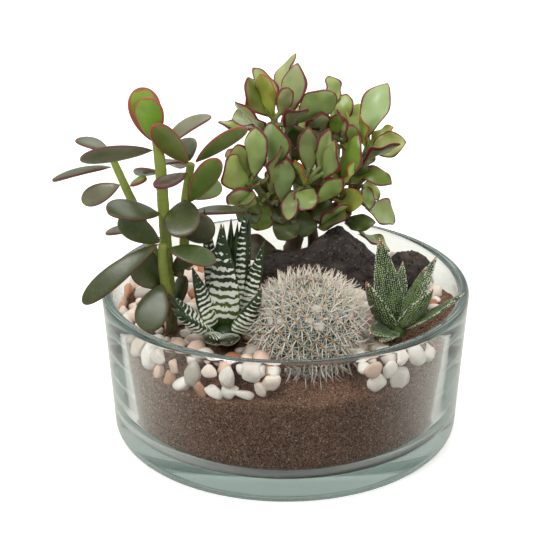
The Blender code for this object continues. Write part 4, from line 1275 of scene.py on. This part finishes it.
zebra.update({
    "form": {"base": 0.40, "tip": 1.05, "thick": 6.5, "channel": 0.04, "wave": 0.0,
             "waves": 1.0, "thin": 0.35},
    "broad": 1.0, "plain": (1, 4, 13, 14),  # the leaves whose inner face shows
    # How long a band is on each leaf.
    "pitches": [4.4, 3.2, 2.8, 2.9, 2.9, 2.8, 2.6, 2.7, 2.6, 2.6, 2.5, 2.5, 2.6, 2.8, 2.8],
    "ground": ((0.012, 0.026, 0.008), (0.030, 0.058, 0.014)), "band": (0.80, 0.81, 0.73),
    "fresh": (0.085, 0.14, 0.020), "tip": (0.16, 0.08, 0.03),
    # Heading, rise, length, width, roll, bend, how far out from the crown.
    "leaves": [
        (110, 86, 61, 17, -35, 4, 1),
        (70, 75, 58, 10, 10, 6, 4),
        (122, 72, 66, 10, -10, 12, 6),
        (60, 75, 69, 9, 20, 8, 5),
        (60, 70, 64, 10, 20, 14, 6),
        (35, 65, 51, 11, 25, 16, 7),
        (-40, 55, 34, 13, -30, 20, 7),
        (170, 65, 39, 13, -30, 16, 5),
        (-172, 40, 34, 13, -15, 14, 7),
        (-145, 35, 33, 11, 15, 14, 8),
        (-115, 15, 22, 12, -15, 16, 7),
        (-85, 15, 22, 13, 5, 18, 7),
        (75, 40, 36, 12, 5, 20, 8),
        (96, 83, 57, 9, 0, 4, 7),
        (82, 79, 60, 9, 5, 6, 8),
    ],
})
pearl.update({
    "form": {"base": 0.25, "tip": 0.8, "thick": 4.0, "channel": 0.10, "wave": 0.0,
             "waves": 1.0, "thin": 0.5},
    "broad": 1.15, "plain": (), "pitches": [1.0] * 10,
    "ground": ((0.014, 0.030, 0.006), (0.060, 0.115, 0.015)), "dot": (0.66, 0.69, 0.56),
    "streak": (0.12, 0.21, 0.03), "tip": (0.36, 0.075, 0.035),
    "leaves": [
        (130, 75, 48, 14, -30, 4, 2),
        (-145, 60, 34, 12, 20, 10, 5),
        (0, 70, 37, 10, 40, 6, 4),
        (45, 45, 41, 9, 10, 10, 5),
        (-30, 55, 30, 12, -35, 10, 5),
        (-10, 30, 37, 9, 5, 14, 6),
        (-120, 15, 27, 13, -20, 10, 6),
        (115, 35, 19, 10, -5, 12, 6),
        (80, 40, 35, 9, 0, 12, 5),
        (-110, 5, 24, 9, -10, 12, 6),
    ],
})


def growRosette(plant, tint, edge):
    bm, marks = newLeafMesh()
    crown = Vector(plant["crown"])
    for index, row in enumerate(plant["leaves"]):
        heading, rise, length, width, roll, bend, out = row
        way = towards(heading)
        form = {**plant["form"], "rimWidth": 0 if index in plant["plain"] else 1}
        leaf = growLeaf(bm, marks, crown + way * out, heading, rise, length,
                        width * plant["broad"], roll, bend, form, tint, edge,
                        rings=44, sides=24)
        for vert in leaf:
            spot = vert[marks["spread"]]
            vert[marks["spread"]] = (spot.x + 7 * index, spot.y / plant["pitches"][index], spot.z)
    core = bmesh.ops.create_uvsphere(bm, u_segments=16, v_segments=10,
                                     radius=plant["core"] * 0.85)
    for vert in core["verts"]:
        vert.co += crown - Vector((0, 0, plant["core"] * 0.3))
        vert[marks["rim"]] = 5
        vert[marks["tint"]] = (*tint, 0)
    return bm


def bandLevel(tree, place, toTip, spread, rim):
    # Above 0 where the leaf is white: waves along it, roughened by beads.
    wobble = mathOf(tree, "MULTIPLY_ADD", noiseOf(tree, place, 4, 3), 1.1, -0.5)
    along = addNode(tree, "SeparateXYZ", {0: spread}).outputs[1]
    phase = mathOf(tree, "ADD", along, wobble)
    wave = mathOf(tree, "SINE", mathOf(tree, "MULTIPLY", phase, 2 * pi))
    beads = noiseOf(tree, place, 1.7, 2, 0.6)
    level = mathOf(tree, "ADD", wave, mathOf(tree, "MULTIPLY_ADD", beads, 3.2, -1.6))
    # Broad bands low on the leaf break up into dots towards its tip; its foot has none.
    upper = mathOf(tree, "MULTIPLY_ADD", between(tree, toTip, 0.38, 0.85), 1.15, -0.30)
    foot = mathOf(tree, "MULTIPLY_ADD", between(tree, toTip, 0.15, 0.05), 3.0, upper)
    level = mathOf(tree, "SUBTRACT", level, foot)
    # Leaves that show their inner face have dots on the margins alone.
    inner = mathOf(tree, "SUBTRACT", 1.0, markOf(tree, "edge")["Alpha"])
    bare = mathOf(tree, "MULTIPLY", inner, between(tree, rim, 0.5, 1.1))
    level = mathOf(tree, "SUBTRACT", level, mathOf(tree, "MULTIPLY", bare, 3.0))
    # No bands near the margins, so the dark ground shows there: painted shade in the gaps between
    # leaves.
    margin = mathOf(tree, "MULTIPLY", between(tree, rim, 0.75, 0.1), 1.2)
    return mathOf(tree, "SUBTRACT", level, margin)


def zebraLook():
    look, tree, shader = newLook("zebraFlesh", Roughness=0.38, Specular_IOR_Level=0.35)
    place = placeOf(tree)
    toTip = markOf(tree, "tint")["Alpha"]
    level = bandLevel(tree, place, toTip, markOf(tree, "spread")["Vector"],
                      markOf(tree, "rim")["Fac"])
    bands = between(tree, level, 0.0, 0.28)
    mottle = patchOf(tree, place, 7, 0.35, 0.7, detail=4)["Mask"]
    colour = mixColour(tree, mottle, *zebra["ground"])
    colour = stain(tree, colour, toTip, 0.5, 0.2, zebra["fresh"],
                   between(tree, toTip, 0.0, 0.3))
    colour = stain(tree, colour, toTip, 0.9, 1.0, zebra["tip"], 0.5)
    colour = mixColour(tree, bands, colour, zebra["band"])
    wire(tree, shader, Base_Color=colour, Normal=bumpOf(tree, bands, 0.8, 0.6),
         Roughness=mathOf(tree, "MULTIPLY_ADD", bands, 0.3, 0.35))
    return look


def pearlLook():
    look, tree, shader = newLook("pearlFlesh", Roughness=0.38, Specular_IOR_Level=0.35)
    place = placeOf(tree)
    toTip = markOf(tree, "tint")["Alpha"]
    spread = markOf(tree, "spread")["Vector"]
    mottle = patchOf(tree, place, 8, 0.35, 0.7, detail=4)
    colour = mixColour(tree, mottle["Mask"], *pearl["ground"])
    drawn = addNode(tree, "VectorMath", {0: spread, 1: (1.0, 0.12, 1.0)}, operation="MULTIPLY")
    streaks = addNode(tree, "TexNoise", {"Scale": 0.55, "Detail": 2.0,
                                         "Vector": drawn.outputs[0]}).outputs["Fac"]
    colour = stain(tree, colour, streaks, 0.5, 0.7, pearl["streak"], 0.6)
    uneven = mathOf(tree, "MULTIPLY_ADD", mottle["Cloud"], 0.16, -0.08)
    tip = mathOf(tree, "ADD", toTip, uneven)
    colour = stain(tree, colour, tip, 0.88, 0.98, pearl["tip"], 0.85)
    # Fine pearls in crowded rows across the leaf, closest along its margins.
    dots = addNode(tree, "TexVoronoi", {"Vector": spread, "Scale": 0.88, "Randomness": 0.5},
                   voronoi_dimensions="2D").outputs["Distance"]
    margin = between(tree, markOf(tree, "rim")["Fac"], 1.1, 0.2)
    size = mathOf(tree, "MULTIPLY_ADD", margin, 0.16, 0.24)
    patchy = mathOf(tree, "MULTIPLY_ADD", noiseOf(tree, place, 4, 2), 0.24, -0.12)
    near = mathOf(tree, "SUBTRACT", mathOf(tree, "ADD", size, patchy), dots)
    spots = between(tree, near, 0.0, 0.08)
    colour = mixColour(tree, spots, colour, pearl["dot"])
    wire(tree, shader, Base_Color=colour, Normal=bumpOf(tree, spots, 0.7, 0.4))
    return look


finishPiece("zebraRosette", growRosette(zebra, (0.02, 0.04, 0.012), (0.1, 0.08, 0.04)),
            zebraLook(), "zebra_leaf", ["zebra_haworthia"])
finishPiece("pearlRosette", growRosette(pearl, (0.07, 0.11, 0.03), (0.2, 0.08, 0.04)),
            pearlLook(), "pearl_leaf", ["pearl_haworthia"])
print("stage: haworthias")
